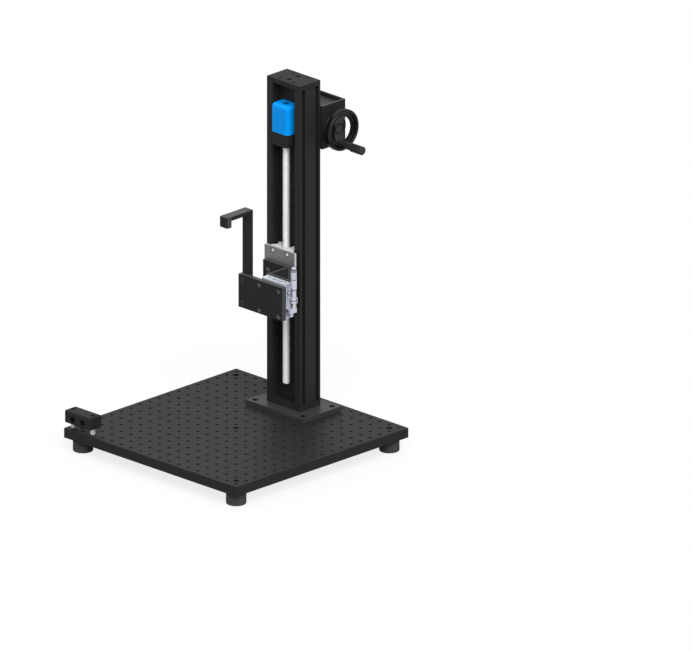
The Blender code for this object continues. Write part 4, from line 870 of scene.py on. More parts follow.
def close_sides(board):
    """Join the top sheet's outer edge to the bottom sheet's."""
    shape = bmesh.new()
    shape.from_mesh(board.data)
    open_edges = [edge for edge in shape.edges if edge.is_boundary]
    bmesh.ops.bridge_loops(shape, edges=open_edges)
    bmesh.ops.recalc_face_normals(shape, faces=shape.faces)
    shape.to_mesh(board.data)
    shape.free()


def make_foot(node):
    """A moulded rubber foot with a soft lower edge and a shallow grip groove."""
    low, high, centre, radius = turned_box(node)
    height = high.z - low.z
    groove, soft, hollow = 0.7 * MM, 2 * MM, 1.2 * MM
    profile = [
        (0, height), (radius, height, 0.6 * MM), (radius, height * 0.62),
        (radius - groove, height * 0.58), (radius - groove, height * 0.54), (radius, height * 0.50)]
    steps = 6
    for i in range(steps + 1):
        angle = math.pi / 2 * i / steps
        profile.append((radius - soft + soft * math.cos(angle), soft - soft * math.sin(angle)))
    profile += [(radius * 0.6, 0), (radius * 0.55, hollow), (0, hollow)]
    foot = lathe(node + "_rubber", profile, (centre.x, centre.y, low.z), sides=56)
    deliver(settle(foot, moulded_rubber), "base", "black_rubber", node)


def drilled_plate(name, node, maker, body, slot, *tools, sides=None, axis=2):
    """A plate over a CAD node's box, drilled, with broken edges. Its sides may take a paler finish,
    which is painted light.
    """
    piece = break_edges(cut(block(name, *span(node)), *tools))
    piece = settle(piece, maker)
    # The faces across the axis get the paler finish: painted light.
    if sides is not None:
        repaint(piece, sides, lambda normal: abs(normal[axis]) < 0.5)
    return deliver(piece, body, slot, node)


def both(size):
    """A distance both ways."""
    return (-size, size)


def around(centre, across, along, level):
    """Four places round a centre at one level."""
    return [(centre.x + a, centre.y + b, level) for a in both(across) for b in both(along)]


class CAMSTAGE_OT_column(bpy.types.Operator):
    """Make the column, its flange and its end plates"""

    bl_idname = "camstage.column"
    bl_label = "Column"

    def execute(self, context):
        pitch = sizes().pitch
        top = span("column_flange")[1].z
        corners = around(middle("column_flange"), 2.5 * pitch, 1.5 * pitch, top)
        # The sunk holes' walls take a darker tone than the flange: painted shade.
        drilled_plate(
            "flange_plate", "column_flange", milled_grey, "base", "grey_anodised",
            drill(corners, "Z", large_sink(THROUGH), maker=thread_wall_painted_shade))
        screws("flange_screws", corners, UP, BOARD_SCREW, "base")
        for node in ("column_foot_plate", "column_top_plate"):
            end_plate(node)
        column = node_copy("column_profile", "column_extrusion", 0.35 * MM, angle=25)
        deliver(settle(column, extruded_black), "base", "black_anodised", "column_extrusion")
        return {"FINISHED"}


def end_plate(node):
    """A plate at the column's end, with four small holes and two sunk screws."""
    low, high = span(node)
    centre = middle(node)
    depth = past(low, high)
    corners = around(centre, 18 * MM, 18 * MM, high.z)
    bolts = [(centre.x, centre.y + b, high.z) for b in both(11.5 * MM)]
    # The holes' walls take a darker tone than the plate: painted shade.
    drilled_plate(
        node + "_milled", node, bead_blasted_black, "base", "black_anodised",
        drill(corners, "Z", plain_hole(SMALL_BORE, depth), maker=thread_wall_painted_shade),
        drill(bolts, "Z", stepped_hole(SMALL_BORE, 9 * MM, 5 * MM, depth), maker=thread_wall_painted_shade))
    screws(node + "_screws", bolts, UP, PLATE_SCREW, "base")


class CAMSTAGE_OT_gear_head(bpy.types.Operator):
    """Make the gear head's block and blue cover, and the lead screw"""

    bl_idname = "camstage.gear_head"
    bl_label = "Gear Head and Lead Screw"

    def execute(self, context):
        head = node_copy("gear_head_body", "gear_head_block", angle=30)
        deliver(settle(head, bead_blasted_black), "base", "black_anodised", "gear_head_block")
        make_cover()
        make_lead_screw()
        return {"FINISHED"}


def make_cover():
    """The blue cover: rounded where front, right and top meet, with a ringed recess on top."""
    low, high = span("gear_head_cover")

    def outer(a, b):
        front = max(a.y, b.y) < low.y + MM
        right = min(a.x, b.x) > high.x - MM
        top = min(a.z, b.z) > high.z - MM
        return front + right + top == 2

    cover = rounded_block("blue_cover", low, high, 7 * MM, outer)
    centre = middle("screw_bearing")
    wall = 4.5 * MM
    hollow = block(
        "cover_hollow", (low.x + wall, low.y + wall, low.z - wall),
        (high.x - wall, high.y + wall, high.z - 2 * wall))
    well = plain_hole(13 * MM, 2.5 * MM)
    # The well's walls and floor take a darker blue: painted shade.
    cut(cover, hollow, drill([(centre.x, centre.y, high.z)], "Z", well, maker=shaded_blue))
    break_edges(cover, 0.3 * MM, angle=40)
    deliver(settle(cover, blue_plastic, smooth=40), "base", "blue_cover", "gear_head_cover")


def make_lead_screw():
    """The lead screw: a plain journal, and a shallow wound thread over the rest."""
    low, high, centre, radius = turned_box("lead_screw")
    depth = sizes().thread_depth
    core, journal = radius - depth, 4 * MM
    thread_end = span("gear_head_block")[0].z + 2.5 * MM
    profile = [
        (0, high.z), (journal, high.z, 0.4 * MM), (journal, thread_end), (core, thread_end),
        (core, low.z, 0.6 * MM), (0, low.z)]
    bar = settle(lathe("screw_core", profile, (centre.x, centre.y, 0), sides=40), bright_steel)
    pitch = sizes().thread_pitch
    rise = thread_end - low.z - pitch
    values = {
        "Radius": core + depth / 2 - 0.02 * MM, "Turns": rise / pitch, "Rise": rise,
        "Root": pitch * 0.72, "Crest": pitch * 0.56, "Depth": depth,
        "Surface": finish(bright_steel)}
    ridge = grown("screw_ridge", tree_of(thread_tree), values)
    ridge.data.transform(Matrix.Translation((centre.x, centre.y, low.z + pitch / 2)))
    screw = joined("threaded_screw", bar, ridge)
    deliver(screw, "lead_screw", "ground_steel", "lead_screw")


class CAMSTAGE_OT_drive(bpy.types.Operator):
    """Make the gear housing, its dial, the handwheel and the crank handle"""

    bl_idname = "camstage.drive"
    bl_label = "Housing and Handwheel"

    def execute(self, context):
        housing = node_copy("housing_casting", "gear_housing", 0.5 * MM, angle=40)
        housing = settle(housing, bead_blasted_black)
        # The housing's top faces take a paler black: painted light.
        repaint(housing, black_sides_painted_light, lambda normal: normal.z > 0.8)
        deliver(housing, "base", "black_anodised", "gear_housing")
        low, high = span("gear_housing_cover")
        lid = break_edges(block("housing_lid", low, high - Vector((0, 0, 3 * MM))))
        deliver(settle(lid, milled_grey), "base", "grey_anodised", "gear_housing_cover")
        make_dial()
        make_wheel()
        make_handle()
        return {"FINISHED"}


def make_dial():
    """The round plate behind the handwheel, with a bevelled edge and a fine ring."""
    low, high, centre, radius = turned_box("dial_plate", "z")
    thick = high.x - low.x
    inner, groove = 4.5 * MM, thick - 0.4 * MM
    profile = [
        (radius, thick, 3 * MM), (radius, 0, 0.4 * MM), (inner, 0), (inner, thick),
        (radius - 10.2 * MM, thick), (radius - 9.9 * MM, groove), (radius - 9.3 * MM, groove),
        (radius - 9 * MM, thick)]
    dial = lathe("dial_disc", profile, (low.x, centre.y, centre.z), "X", sides=72, closed=True)
    deliver(settle(dial, turned_black), "base", "black_anodised", "dial_plate")


def make_wheel():
    """The handwheel: scalloped rim with a sunk flange, two leaning spokes, hub and handle boss."""
    low, high, centre, outer = turned_box("handwheel", "z")
    rim_width = 11 * MM
    near = high.x - rim_width

    def turned(name, profile, start, maker=turned_black, sides=48, closed=False):
        """A settled piece, turned round the wheel's own axis."""
        place = (start, centre.y, centre.z)
        return settle(lathe(name, profile, place, "X", sides, closed), maker)

    rim = turned("wheel_rim", rim_profile(outer, 6 * MM, rim_width), near, phenolic_black, 96, True)
    flange = turned("wheel_flange", flange_profile(outer), near, phenolic_black, 96, True)
    hub, hub_length = 9.75 * MM, 6.5 * MM
    hub_piece = turned("wheel_hub", [
        (0, hub_length), (hub, hub_length, 0.8 * MM), (hub, 0, 0.4 * MM), (0, 0)], low.x)
    thick, half_width, reach = 4 * MM, 11 * MM, outer - 4.5 * MM
    start, end = low.x + hub_length - thick, near + 0.3 * MM
    face = start + thick
    outline = [
        (start, -hub), (end, -reach), (end + thick, -reach), (face, -hub), (face, hub),
        (end + thick, reach), (end, reach), (start, hub)]
    web = prism(
        "wheel_web", [(x, z + centre.z) for x, z in outline], centre.y - half_width,
        centre.y + half_width, upright=True)
    # The groove round the hub takes the darker wall tone: painted shade.
    groove = lathe(
        "hub_groove", tube(hub + 1.1 * MM, hub - 0.1 * MM, -0.8 * MM, 0.6 * MM),
        (face, centre.y, centre.z), "X", closed=True)
    cut(web, coat(groove, thread_wall_painted_shade))
    web = settle(break_edges(web, 0.4 * MM, angle=50), turned_black)
    handle = middle("handle_spindle")
    boss_face = span("handle_spindle")[0].x - 0.3 * MM
    boss = lathe(
        "wheel_boss", rod(6.25 * MM, near, boss_face), (0, handle.y, handle.z), "X", sides=32)
    boss = settle(break_edges(boss, 0.4 * MM, angle=50), turned_black)
    grips = bars_round(
        "wheel_grips", (near + rim_width / 2, centre.y, centre.z), "X", sizes().knurls,
        outer - 0.6 * MM, (1.1 * MM, 2.2 * MM, rim_width * 0.62), phenolic_black)
    wheel = joined("knurled_wheel", rim, flange, hub_piece, web, boss, grips)
    deliver(wheel, "handwheel", "black_anodised", "handwheel")
    radius, rise = 8.2 * MM, 1.2 * MM
    cap = turned(
        "wheel_cap", [(0, rise), (radius, rise, 0.6 * MM), (radius, -MM), (0, -MM)], face)
    deliver(cap, "handwheel", "black_anodised")


def flange_profile(outer):
    """The section of the sunk flange: from inside the rim to the windows, with a raised lip."""
    window, hidden = 25 * MM, outer - 4 * MM
    back, floor, top = 1.5 * MM, 3.4 * MM, 4.5 * MM
    return [
        (hidden, back), (window, back, 0.5 * MM), (window, top, 0.5 * MM), (window + 2.4 * MM, top),
        (window + 3 * MM, floor), (outer - 7.6 * MM, floor), (outer - 6.6 * MM, top), (hidden, top)]


def rim_profile(outer, radial, width):
    """The rim's section: rounded, with a sunk band for the grips and a groove in its face."""
    points = []
    inner = outer - radial
    soft = radial * 0.36
    groove = 0.5 * MM
    mid = (outer + inner) / 2
    corners = (
        (outer - soft, width - soft, 90, 0), (outer - soft, soft, 0, -90),
        (inner + soft, soft, -90, -180), (inner + soft, width - soft, -180, -270))
    for number, (across, along, start, end) in enumerate(corners):
        for i in range(6):
            angle = math.radians(start + (end - start) * i / 5)
            points.append((across + soft * math.cos(angle), along + soft * math.sin(angle)))
        if number == 0:
            band = 0.6 * MM
            points += [
                (outer, width * 0.80), (outer - band, width * 0.78), (outer - band, width * 0.22),
                (outer, width * 0.20)]
    points += [
        (mid - groove * 1.2, width), (mid - groove * 0.6, width - groove),
        (mid + groove * 0.6, width - groove), (mid + groove * 1.2, width)]
    return points


def make_handle():
    """The crank handle: a necked shank with a ring joint, and the turning grip."""
    low, high, centre, shank = turned_box("handle_spindle", "z")
    grip_low, grip_high, centre, radius = turned_box("crank_grip", "z")
    neck = 4.25 * MM
    collar = span("handwheel")[1].x + 0.3 * MM
    joint = grip_low.x - 0.3 * MM
    profile = [
        (0, joint), (shank, joint, 0.5 * MM), (shank, collar, 1.6 * MM), (neck, collar),
        (neck, low.x), (0, low.x)]
    spindle = lathe("handle_shank", profile, (0, centre.y, centre.z), "X", sides=40)
    deliver(settle(spindle, turned_black), "handwheel", "black_steel", "handle_spindle")
    soft, steps = 2 * MM, 5
    end, side = grip_high.x - soft, radius - soft
    points = [(0, grip_high.x)]
    for i in range(steps + 1):
        angle = math.pi / 2 * i / steps
        points.append((side + soft * math.sin(angle), end + soft * math.cos(angle)))
    points += [(radius, grip_low.x, 1.2 * MM), (0, grip_low.x)]
    grip = lathe("turning_grip", points, (0, centre.y, centre.z), "X")
    deliver(settle(grip, turned_black), "crank_grip", "black_anodised", "crank_grip")


class CAMSTAGE_OT_carriage(bpy.types.Operator):
    """Make the slider, the carriage plate and the stepped bracket"""

    bl_idname = "camstage.carriage"
    bl_label = "Carriage and Bracket"

    def execute(self, context):
        make_slider()
        places = front_corners("carriage_plate", 18.5 * MM, 7.5 * MM)
        # The carriage plate's holes take a darker wall tone, painted shade, and its side faces a
        # much paler finish, a painted highlight.
        drilled_plate(
            "carriage_face", "carriage_plate", brushed_natural, "carriage", "grey_anodised",
            drill(places, "Y", cone_hole(5.8 * MM, 9.4 * MM, 12 * MM, side=-1), maker=thread_wall_painted_shade),
            sides=natural_edge_painted_highlight, axis=1)
        screws(
            "carriage_screws", places, FRONT, CARRIAGE_SCREW, "carriage", bright_steel,
            "ground_steel")
        # The bracket's holes take a pale wall, a painted highlight, and its side faces a paler
        # black, painted light.
        places = front_corners("bracket_back_plate", 19 * MM, 15 * MM)
        hole = stepped_hole(SMALL_BORE, 10 * MM, 5 * MM, THROUGH, side=-1)
        drilled_plate(
            "bracket_back", "bracket_back_plate", bead_blasted_black, "carriage", "black_anodised",
            drill(places, "Y", hole, maker=bore_wall_painted_highlight), sides=black_sides_painted_light, axis=1)
        # The web and the front plate take the paler black on their sides: painted light.
        for node, axis in (("bracket_web", 0), ("bracket_front_plate", 1)):
            drilled_plate(
                node + "_milled", node, bead_blasted_black, "carriage", "black_anodised",
                sides=black_sides_painted_light, axis=axis)
        return {"FINISHED"}


def front_corners(node, across, margin):
    """Four places on a plate's front: across both ways, and a margin in from its two ends."""
    low, high = span(node)
    return [(x, low.y, z) for x in both(across) for z in (low.z + margin, high.z - margin)]


def make_slider():
    """The white slider: full width in front, a round waist, and a notch for the screw."""
    low, high = span("carriage_slider")
    screw = middle("lead_screw")
    half, waist, notch = (high.x - low.x) / 2, 23 * MM, 8 * MM
    lip = low.y + 5 * MM
    back = high.y
    side = [(half, low.y), (half, lip - 1.5 * MM)]
    steps = 12
    for i in range(1, steps):
        share = i / steps
        dip = math.sin(math.pi * share) ** 0.8
        side.append((half - (half - waist) * dip, lip - 1.5 * MM + (back - lip - 3 * MM) * share))
    side += [(half, back - 4 * MM), (half - 2 * MM, back), (notch + 3 * MM, back)]
    front = screw.y - notch
    side += [(notch, back - 3 * MM), (notch, front + 3 * MM), (notch - 3 * MM, front)]
    outline = side + [(-x, y) for x, y in reversed(side)]
    slider = break_edges(prism("white_slider", outline, low.z, high.z), 0.4 * MM, angle=50)
    deliver(settle(slider, white_acetal), "carriage", "white_slider", "carriage_slider")


class CAMSTAGE_OT_fine_stage(bpy.types.Operator):
    """Make the micrometer stage, the micrometer and its clamp"""

    bl_idname = "camstage.fine_stage"
    bl_label = "Micrometer Stage"

    def execute(self, context):
        for node, body in (("stage_base", "carriage"), ("stage_plate", "fine_stage")):
            half = node_copy(node + "_ground", node, 0.4 * MM)
            cut(half, *seam_cutters(), side_holes(node))
            half = settle(half, satin_silver)
            # The top faces take a near-white tone: painted reflection.
            repaint(half, alloy_top_painted_reflection, lambda normal: normal.z > 0.8)
            deliver(half, body, "satin_alloy", node)
        for node in ("stage_rail", "stage_gib"):
            # The trench also cuts the rail and the gib, and its walls take a dark tone: painted
            # shade.
            rail = break_edges(cut(block(node + "_ground", *span(node)), *seam_cutters()), 0.3 * MM)
            deliver(settle(rail, bright_steel), "carriage", "ground_steel", node)
        make_holder()
        make_sleeve()
        make_thimble()
        make_knob()
        make_anvil()
        make_lock()
        return {"FINISHED"}


# The seam's trench in three lengths: start and end along x from the base's left, and how far it
# reaches to the front and to the back of the seam, all in mm.
TRENCHES = ((7, 27, -0.9, 1.3), (24, 42, -1.6, 0.5), (39, 56, -0.9, 1.3))


def seam_cutters():
    """Tools for the dark trench that steps across the top between the stage's two halves. Its walls
    take a dark tone, which is painted shade.
    """
    base = span("stage_base")
    top = base[1].z
    seam = base[0].y - 0.25 * MM
    tools = []
    for start, end, near, far in TRENCHES:
        trench = block(
            "seam_trench", (base[0].x + start * MM, seam + near * MM, top - 2.5 * MM),
            (base[0].x + end * MM, seam + far * MM, top + MM))
        # The trench's walls take a dark tone: painted shade.
        tools.append(coat(trench, thread_wall_painted_shade))
    return tools


def side_holes(node):
    """A tool for the small sunk screw holes in the stage's right side."""
    low, high = span(node)
    lock = middle("stage_lock_screw")
    if node == "stage_base":
        # The recess round the lock screw is inked dark: painted shade.
        recess = plain_hole(6.8 * MM, 0.8 * MM)
        return drill([(high.x, lock.y, lock.z)], "X", recess, maker=ink_and_painted_shade)
    # The small side holes take the darker wall tone: painted shade.
    places = [(high.x, high.y - 2.4 * MM, low.z + rise * MM) for rise in (12.5, 22.5, 32, 52)]
    return drill(places, "X", plain_hole(3.2 * MM, 2.5 * MM), sides=20, maker=thread_wall_painted_shade)


def on_axis(name, profile, sides=48, closed=False):
    """A solid turned round the micrometer's axis."""
    axis = middle("micrometer_thimble")
    return lathe(name, profile, (axis.x, axis.y, 0), "Z", sides, closed)


def make_holder():
    """The split clamp round the micrometer's sleeve, with a waist and a dark slit."""
    low, high = span("micrometer_holder")
    axis = middle("micrometer_thimble")
    radius = high.x - axis.x
    body = block("clamp_body", (low.x, low.y, low.z), (axis.x, high.y - 0.4 * MM, high.z))
    collar = on_axis("clamp_collar", rod(radius, low.z, high.z), 40)
    bore = drill([(axis.x, axis.y, (low.z + high.z) / 2)], "Z", plain_hole(9.1 * MM, THROUGH))
    slit = block(
        "clamp_slit", (axis.x + 2 * MM, axis.y - 0.6 * MM, low.z - MM),
        (high.x + MM, axis.y + 0.6 * MM, high.z + MM))
    waist = on_axis("clamp_waist", [
        (radius + MM, high.z - 4 * MM), (radius + MM, low.z + 4.6 * MM),
        (radius - MM, low.z + 4.8 * MM), (radius - MM, high.z - 4.2 * MM)], 40, closed=True)
    cut(body, collar, operation="UNION")
    # The waist groove and the slit take dark finishes: painted shade in the groove and in the gap.
    cut(body, coat(waist, thread_wall_painted_shade), bore, coat(slit, ink_and_painted_shade))
    break_edges(body, 0.3 * MM)
    deliver(settle(body, satin_silver), "carriage", "satin_alloy", "micrometer_holder")


def make_sleeve():
    """The micrometer's fixed sleeve, with its line of graduations."""
    low, high, centre, radius = turned_box("micrometer_sleeve")
    axis = middle("micrometer_thimble")
    bevel, inner = 0.3 * MM, 2.3 * MM
    sleeve = settle(on_axis("graduated_sleeve", [
        (radius, high.z, bevel), (radius, low.z, bevel), (inner, low.z), (inner, high.z)],
        closed=True), satin_silver)
    start = span("micrometer_holder")[1].z + 2 * MM
    step, short, long = 1 * MM, 0.9 * MM, 1.5 * MM
    turn = math.radians(20)
    towards = Vector((math.sin(turn), -math.cos(turn), 0))
    lines = [
        mark(axis, towards, radius, start + i * step, short if i % 5 else long)
        for i in range(int((high.z - start) / step))]
    sleeve = joined("micrometer_scale", sleeve, *lines)
    deliver(sleeve, "carriage", "satin_alloy", "micrometer_sleeve")


def mark(axis, towards, radius, level, long):
    """One short engraved line across a sleeve, seen from the front."""
    across = towards.cross(Vector(UP))
    place = Vector((axis.x, axis.y, level)) + towards * (radius - 0.05 * MM)
    half = Vector((long / 2, 0.08 * MM, 0.1 * MM))
    line = block("scale_line", -half, half)
    turn = Matrix((across, towards, UP)).transposed().to_4x4()
    line.data.transform(Matrix.Translation(place) @ turn)
    return coat(line, ink_and_painted_shade)


def make_thimble():
    """The thimble with its divided bevel, its knurled grip and its dark bands."""
    low, high, axis, radius = turned_box("micrometer_thimble")
    inner, grip, neck = radius - 0.95 * MM, radius - 0.2 * MM, radius - 0.8 * MM
    groove = low.z + (high.z - low.z) * 0.52
    body = settle(on_axis("thimble_body", [
        (0, high.z), (grip, high.z, 0.8 * MM), (grip, groove + 0.8 * MM), (neck, groove + 0.5 * MM),
        (neck, groove - 0.3 * MM), (radius, groove - 0.6 * MM),
        (radius, low.z + 3.2 * MM), (radius - 0.5 * MM, low.z), (inner, low.z), (inner, groove),
        (0, groove)], 64), satin_silver)
    # The thimble's upward faces take a darker steel grey: painted shade.
    repaint(body, gear_steel_and_painted_shade, lambda normal: normal.z > 0.3)
    grips = bars_round(
        "thimble_grips", (axis.x, axis.y, (groove + high.z) / 2), "Z", 48, grip,
        (0.35 * MM, 0.4 * MM, high.z - groove - 3 * MM), satin_silver)
    bands = [
        band("thimble_band", radius - 0.75 * MM, groove - 0.4 * MM, groove + 0.6 * MM),
        band("thimble_rim", radius - 0.35 * MM, low.z - 0.3 * MM, low.z + 0.4 * MM),
        band("thimble_top", radius + 0.02 * MM, high.z - 3.2 * MM, high.z - MM, gear_steel_and_painted_shade)]
    marks = bars_round(
        "thimble_marks", (axis.x, axis.y, low.z + 1.5 * MM), "Z", sizes().divisions,
        radius - 0.27 * MM, (0.12 * MM, 0.14 * MM, 1.6 * MM), ink_and_painted_shade)
    thimble = joined("divided_thimble", body, grips, marks, *bands)
    deliver(thimble, "thimble", "satin_alloy", "micrometer_thimble")


def make_knob():
    """The ratchet knob on the thimble's end, with its dark neck, and the spindle."""
    low, high, centre, radius = turned_box("micrometer_knob")
    axis = middle("micrometer_thimble")
    neck = radius - 1.2 * MM
    knob = settle(on_axis("knob_body", [
        (0, high.z), (radius, high.z, 0.8 * MM), (radius, low.z + 1.4 * MM), (neck, low.z + MM),
        (neck, low.z), (0, low.z)]), satin_silver)
    grips = bars_round(
        "knob_grips", (axis.x, axis.y, (low.z + high.z) / 2 + 0.3 * MM), "Z", 32,
        radius - 0.12 * MM, (0.3 * MM, 0.35 * MM, 2.6 * MM), satin_silver)
    neck = band("knob_neck", radius - 1.1 * MM, low.z - 0.1 * MM, low.z + 1.3 * MM)
    deliver(joined("ratchet_knob", knob, grips, neck), "thimble", "satin_alloy", "micrometer_knob")
    low, high = span("micrometer_spindle")
    radius = 2 * MM
    spindle = on_axis("ground_spindle", [
        (0, high.z), (radius, high.z), (radius, low.z, 0.4 * MM), (0, low.z)], 32)
    deliver(settle(spindle, bright_steel), "thimble", "ground_steel", "micrometer_spindle")


def band(name, radius, low, high, maker=ink_and_painted_shade):
    """A ring let into a turned piece on the micrometer's axis."""
    ring = on_axis(name, tube(radius, radius - 0.6 * MM, low, high), closed=True)
    return settle(ring, maker)


def make_anvil():
    """The stop that the spindle pushes on, with its stepped foot and small screw."""
    low, high = span("micrometer_anvil")
    anvil = block("stop_block", low, high)
    foot = block(
        "stop_foot", (low.x, low.y + 6 * MM, low.z - 9 * MM),
        (low.x + 7 * MM, high.y - 3 * MM, low.z + MM))
    cut(anvil, foot, operation="UNION")
    place = [((low.x + high.x) / 2 - 1.5 * MM, low.y, (low.z + high.z) / 2)]
    cut(anvil, drill(place, "Y", stepped_hole(3.2 * MM, 5.4 * MM, 2.5 * MM, 12 * MM, side=-1)))
    break_edges(anvil, 0.4 * MM)
    deliver(settle(anvil, satin_silver), "fine_stage", "satin_alloy", "micrometer_anvil")
    screws("stop_screw", place, FRONT, STOP_SCREW, "fine_stage")


def make_lock():
    """The slotted lock screw on the stage's side, with a dark ring behind its head."""
    low, high, centre, radius = turned_box("stage_lock_screw", "z")
    shank = 1.5 * MM
    face = span("stage_base")[1].x + 0.3 * MM
    lock = lathe("lock_screw", [
        (0, high.x), (radius, high.x, 0.5 * MM), (radius, face), (shank, face), (shank, low.x),
        (0, low.x)], (0, centre.y, centre.z), "X", sides=32)
    half_slot = 0.45 * MM
    cut(lock, block(
        "lock_slot", (high.x - 1.1 * MM, centre.y - half_slot, centre.z - radius),
        (high.x + MM, centre.y + half_slot, centre.z + radius)))
    washer = lathe(
        "lock_washer", tube(3.9 * MM, 1.6 * MM, face - 0.25 * MM, face - 0.05 * MM),
        (0, centre.y, centre.z), "X", sides=40, closed=True)
    lock = joined("lock_screw", settle(lock, satin_silver), settle(washer, ink_and_painted_shade))
    deliver(lock, "stage_lock", "satin_alloy", "stage_lock_screw")


class CAMSTAGE_OT_camera_holder(bpy.types.Operator):
    """Make the camera plate and the hooked arm"""

    bl_idname = "camstage.camera_holder"
    bl_label = "Camera Plate and Arm"

    def execute(self, context):
        low, high = span("camera_plate")
        apart, margin, end = 50 * MM, 9.5 * MM, 10 * MM
        right = high.x - margin
        centre = (low.z + high.z) / 2
        bolts = [
            (x, low.y, centre + z) for x in (right - apart, right) for z in both(apart / 2)]
        arm = middle("arm_upright").x
        small = [
            (arm, low.y, z + rise) for z in (low.z + end, high.z - end) for rise in both(3.5 * MM)]
        hole = stepped_hole(SMALL_BORE, 10 * MM, 5.5 * MM, THROUGH, side=-1)
        # The camera plate's holes take a pale wall, a painted highlight, and its side faces a paler
        # black, painted light.
        drilled_plate(
            "camera_face", "camera_plate", bead_blasted_black, "fine_stage", "black_anodised",
            drill(bolts, "Y", hole, maker=bore_wall_painted_highlight),
            drill(small, "Y", plain_hole(4.2 * MM, THROUGH), maker=bore_wall_painted_highlight),
            sides=black_sides_painted_light, axis=1)
        for node in ("arm_upright", "arm_beam", "hook_inner_plate", "hook_outer_plate"):
            bar = settle(break_edges(block(node + "_milled", *span(node))), bead_blasted_black)
            right_painted_light = node.startswith("hook")
            # The bars' top faces, and the hooks' right faces, take a paler black: painted light.
            repaint(
                bar, black_sides_painted_light,
                lambda normal: normal.z > 0.5 or right_painted_light and normal.x > 0.5)
            deliver(bar, "fine_stage", "black_anodised", node)
        return {"FINISHED"}


class CAMSTAGE_OT_corner_block(bpy.types.Operator):
    """Make the drilled block at the board's corner and its posts"""

    bl_idname = "camstage.corner_block"
    bl_label = "Corner Block"

    def execute(self, context):

        low, high = span("corner_block")
        centre = (low.x + high.x) / 2
        upright = [(post.x, post.y, high.z) for post in map(middle, POSTS)]
        cross = [(centre + x, low.y, low.z + 10.2 * MM) for x in both(12.5 * MM)]
        depth = 60 * MM
        body = rounded_block("drilled_block", low, high, 2.2 * MM, lambda a, b: True, segments=1)
        # The holes' walls take a darker tone than the block: painted shade.
        cut(
            body,
            drill(upright, "Z", stepped_hole(SMALL_BORE, 9 * MM, 5 * MM, depth), maker=thread_wall_painted_shade),
            drill(cross, "Y", large_sink(depth, side=-1), maker=thread_wall_painted_shade))
        body = settle(break_edges(body, 0.4 * MM), bead_blasted_black)
        deliver(body, "base", "black_anodised", "corner_block")
        screws("block_screws", upright, UP, BLOCK_SCREW, "base")
        for node in POSTS:
            make_post(node)
        return {"FINISHED"}


def make_post(node):
    """A turned post between the board and the block."""
    low, high, centre, radius = turned_box(node)
    bevel = 0.5 * MM
    profile = [(0, high.z), (radius, high.z, bevel), (radius, low.z, bevel), (0, low.z)]
    post = lathe(node + "_turned", profile, (centre.x, centre.y, 0), sides=40)
    deliver(settle(post, turned_natural), "base", "satin_alloy", node)


INNER_PARTS = (
    (gear_steel_and_painted_shade, (
        "screw_bearing", "lead_screw_gear", "cross_shaft_front_gear", "cross_shaft_back_gear",
        "handwheel_gear")),
    (sintered_bronze, ("cross_bush_front", "cross_bush_back", "wheel_shaft_bush", "carriage_nut")),
    (bright_steel, ("cross_shaft", "handwheel_shaft")),
)


class CAMSTAGE_OT_inner_parts(bpy.types.Operator):
    """Give the gears, bushes, nut and shafts their finishes"""

    bl_idname = "camstage.inner_parts"
    bl_label = "Inner Parts"

    def execute(self, context):
        for maker, nodes in INNER_PARTS:
            for node in nodes:
                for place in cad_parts[node].material_slots:
                    place.material = finish(maker)
        return {"FINISHED"}


class CAMSTAGE_OT_studio(bpy.types.Operator):
    """Set the floor, the backdrop, the lamps and the camera"""

    bl_idname = "camstage.studio"
    bl_label = "Studio"

    def execute(self, context):
        context.scene.view_settings.view_transform = "Standard"
        make_floor()
        make_world()
        make_lamps()
        make_camera()
        return {"FINISHED"}


def background_rays(tree):
    """One where a camera, glossy or transmitted ray looks, else zero."""
    path = add(tree, "ShaderNodeLightPath")
    either = maths(tree, "MAXIMUM", path.outputs["Is Camera Ray"], path.outputs["Is Glossy Ray"])
    return maths(tree, "MAXIMUM", either, path.outputs["Is Transmission Ray"])


# How much of the floor's look is plain white instead of lit.
FLOOR_GLOW = 0.8
FLOOR_SIDE = 6.0
FLOOR_LEVELS = (-20 * MM, -0.5 * MM)
AMBIENT = 0.5


def make_floor():
    """A wide pale floor that keeps a soft part of the shadow."""
    made = bpy.data.materials.new("pale_studio_floor")
    made.use_nodes = True
    tree = made.node_tree
    tree.nodes.clear()
    looked_at = background_rays(tree)
    tone = add(tree, "ShaderNodeMix", {
        "Factor": looked_at, "A": linear("666666"), "B": linear("F4F4F4")}, data_type="RGBA")
    shade = add(tree, "ShaderNodeBsdfDiffuse", {"Color": tone.outputs["Result"]})
    glow = add(tree, "ShaderNodeEmission", {"Color": linear("FFFFFF"), "Strength": 1.0})
    mixed = add(tree, "ShaderNodeMixShader", {
        0: maths(tree, "MULTIPLY", looked_at, FLOOR_GLOW), 1: shade.outputs["BSDF"],
        2: glow.outputs["Emission"]})
    add(tree, "ShaderNodeOutputMaterial", {"Surface": mixed.outputs["Shader"]})
    near, far = both(FLOOR_SIDE)
    floor = prism(
        "studio_floor", [(near, near), (far, near), (far, far), (near, far)], *FLOOR_LEVELS)
    floor.data.materials.append(made)


def make_world():
    """Even white surroundings: full white to look at, dimmer as light."""
    world = bpy.data.worlds.new("white_room")
    bpy.context.scene.world = world
    world.use_nodes = True
    tree = world.node_tree
    tree.nodes.clear()

    seen = add(tree, "ShaderNodeMapRange", {
        "Value": background_rays(tree), "To Min": AMBIENT, "To Max": 1.0}).outputs["Result"]
    glow = add(tree, "ShaderNodeBackground", {"Color": linear("FFFFFF"), "Strength": seen})
    add(tree, "ShaderNodeOutputWorld", {"Surface": glow.outputs["Background"]})


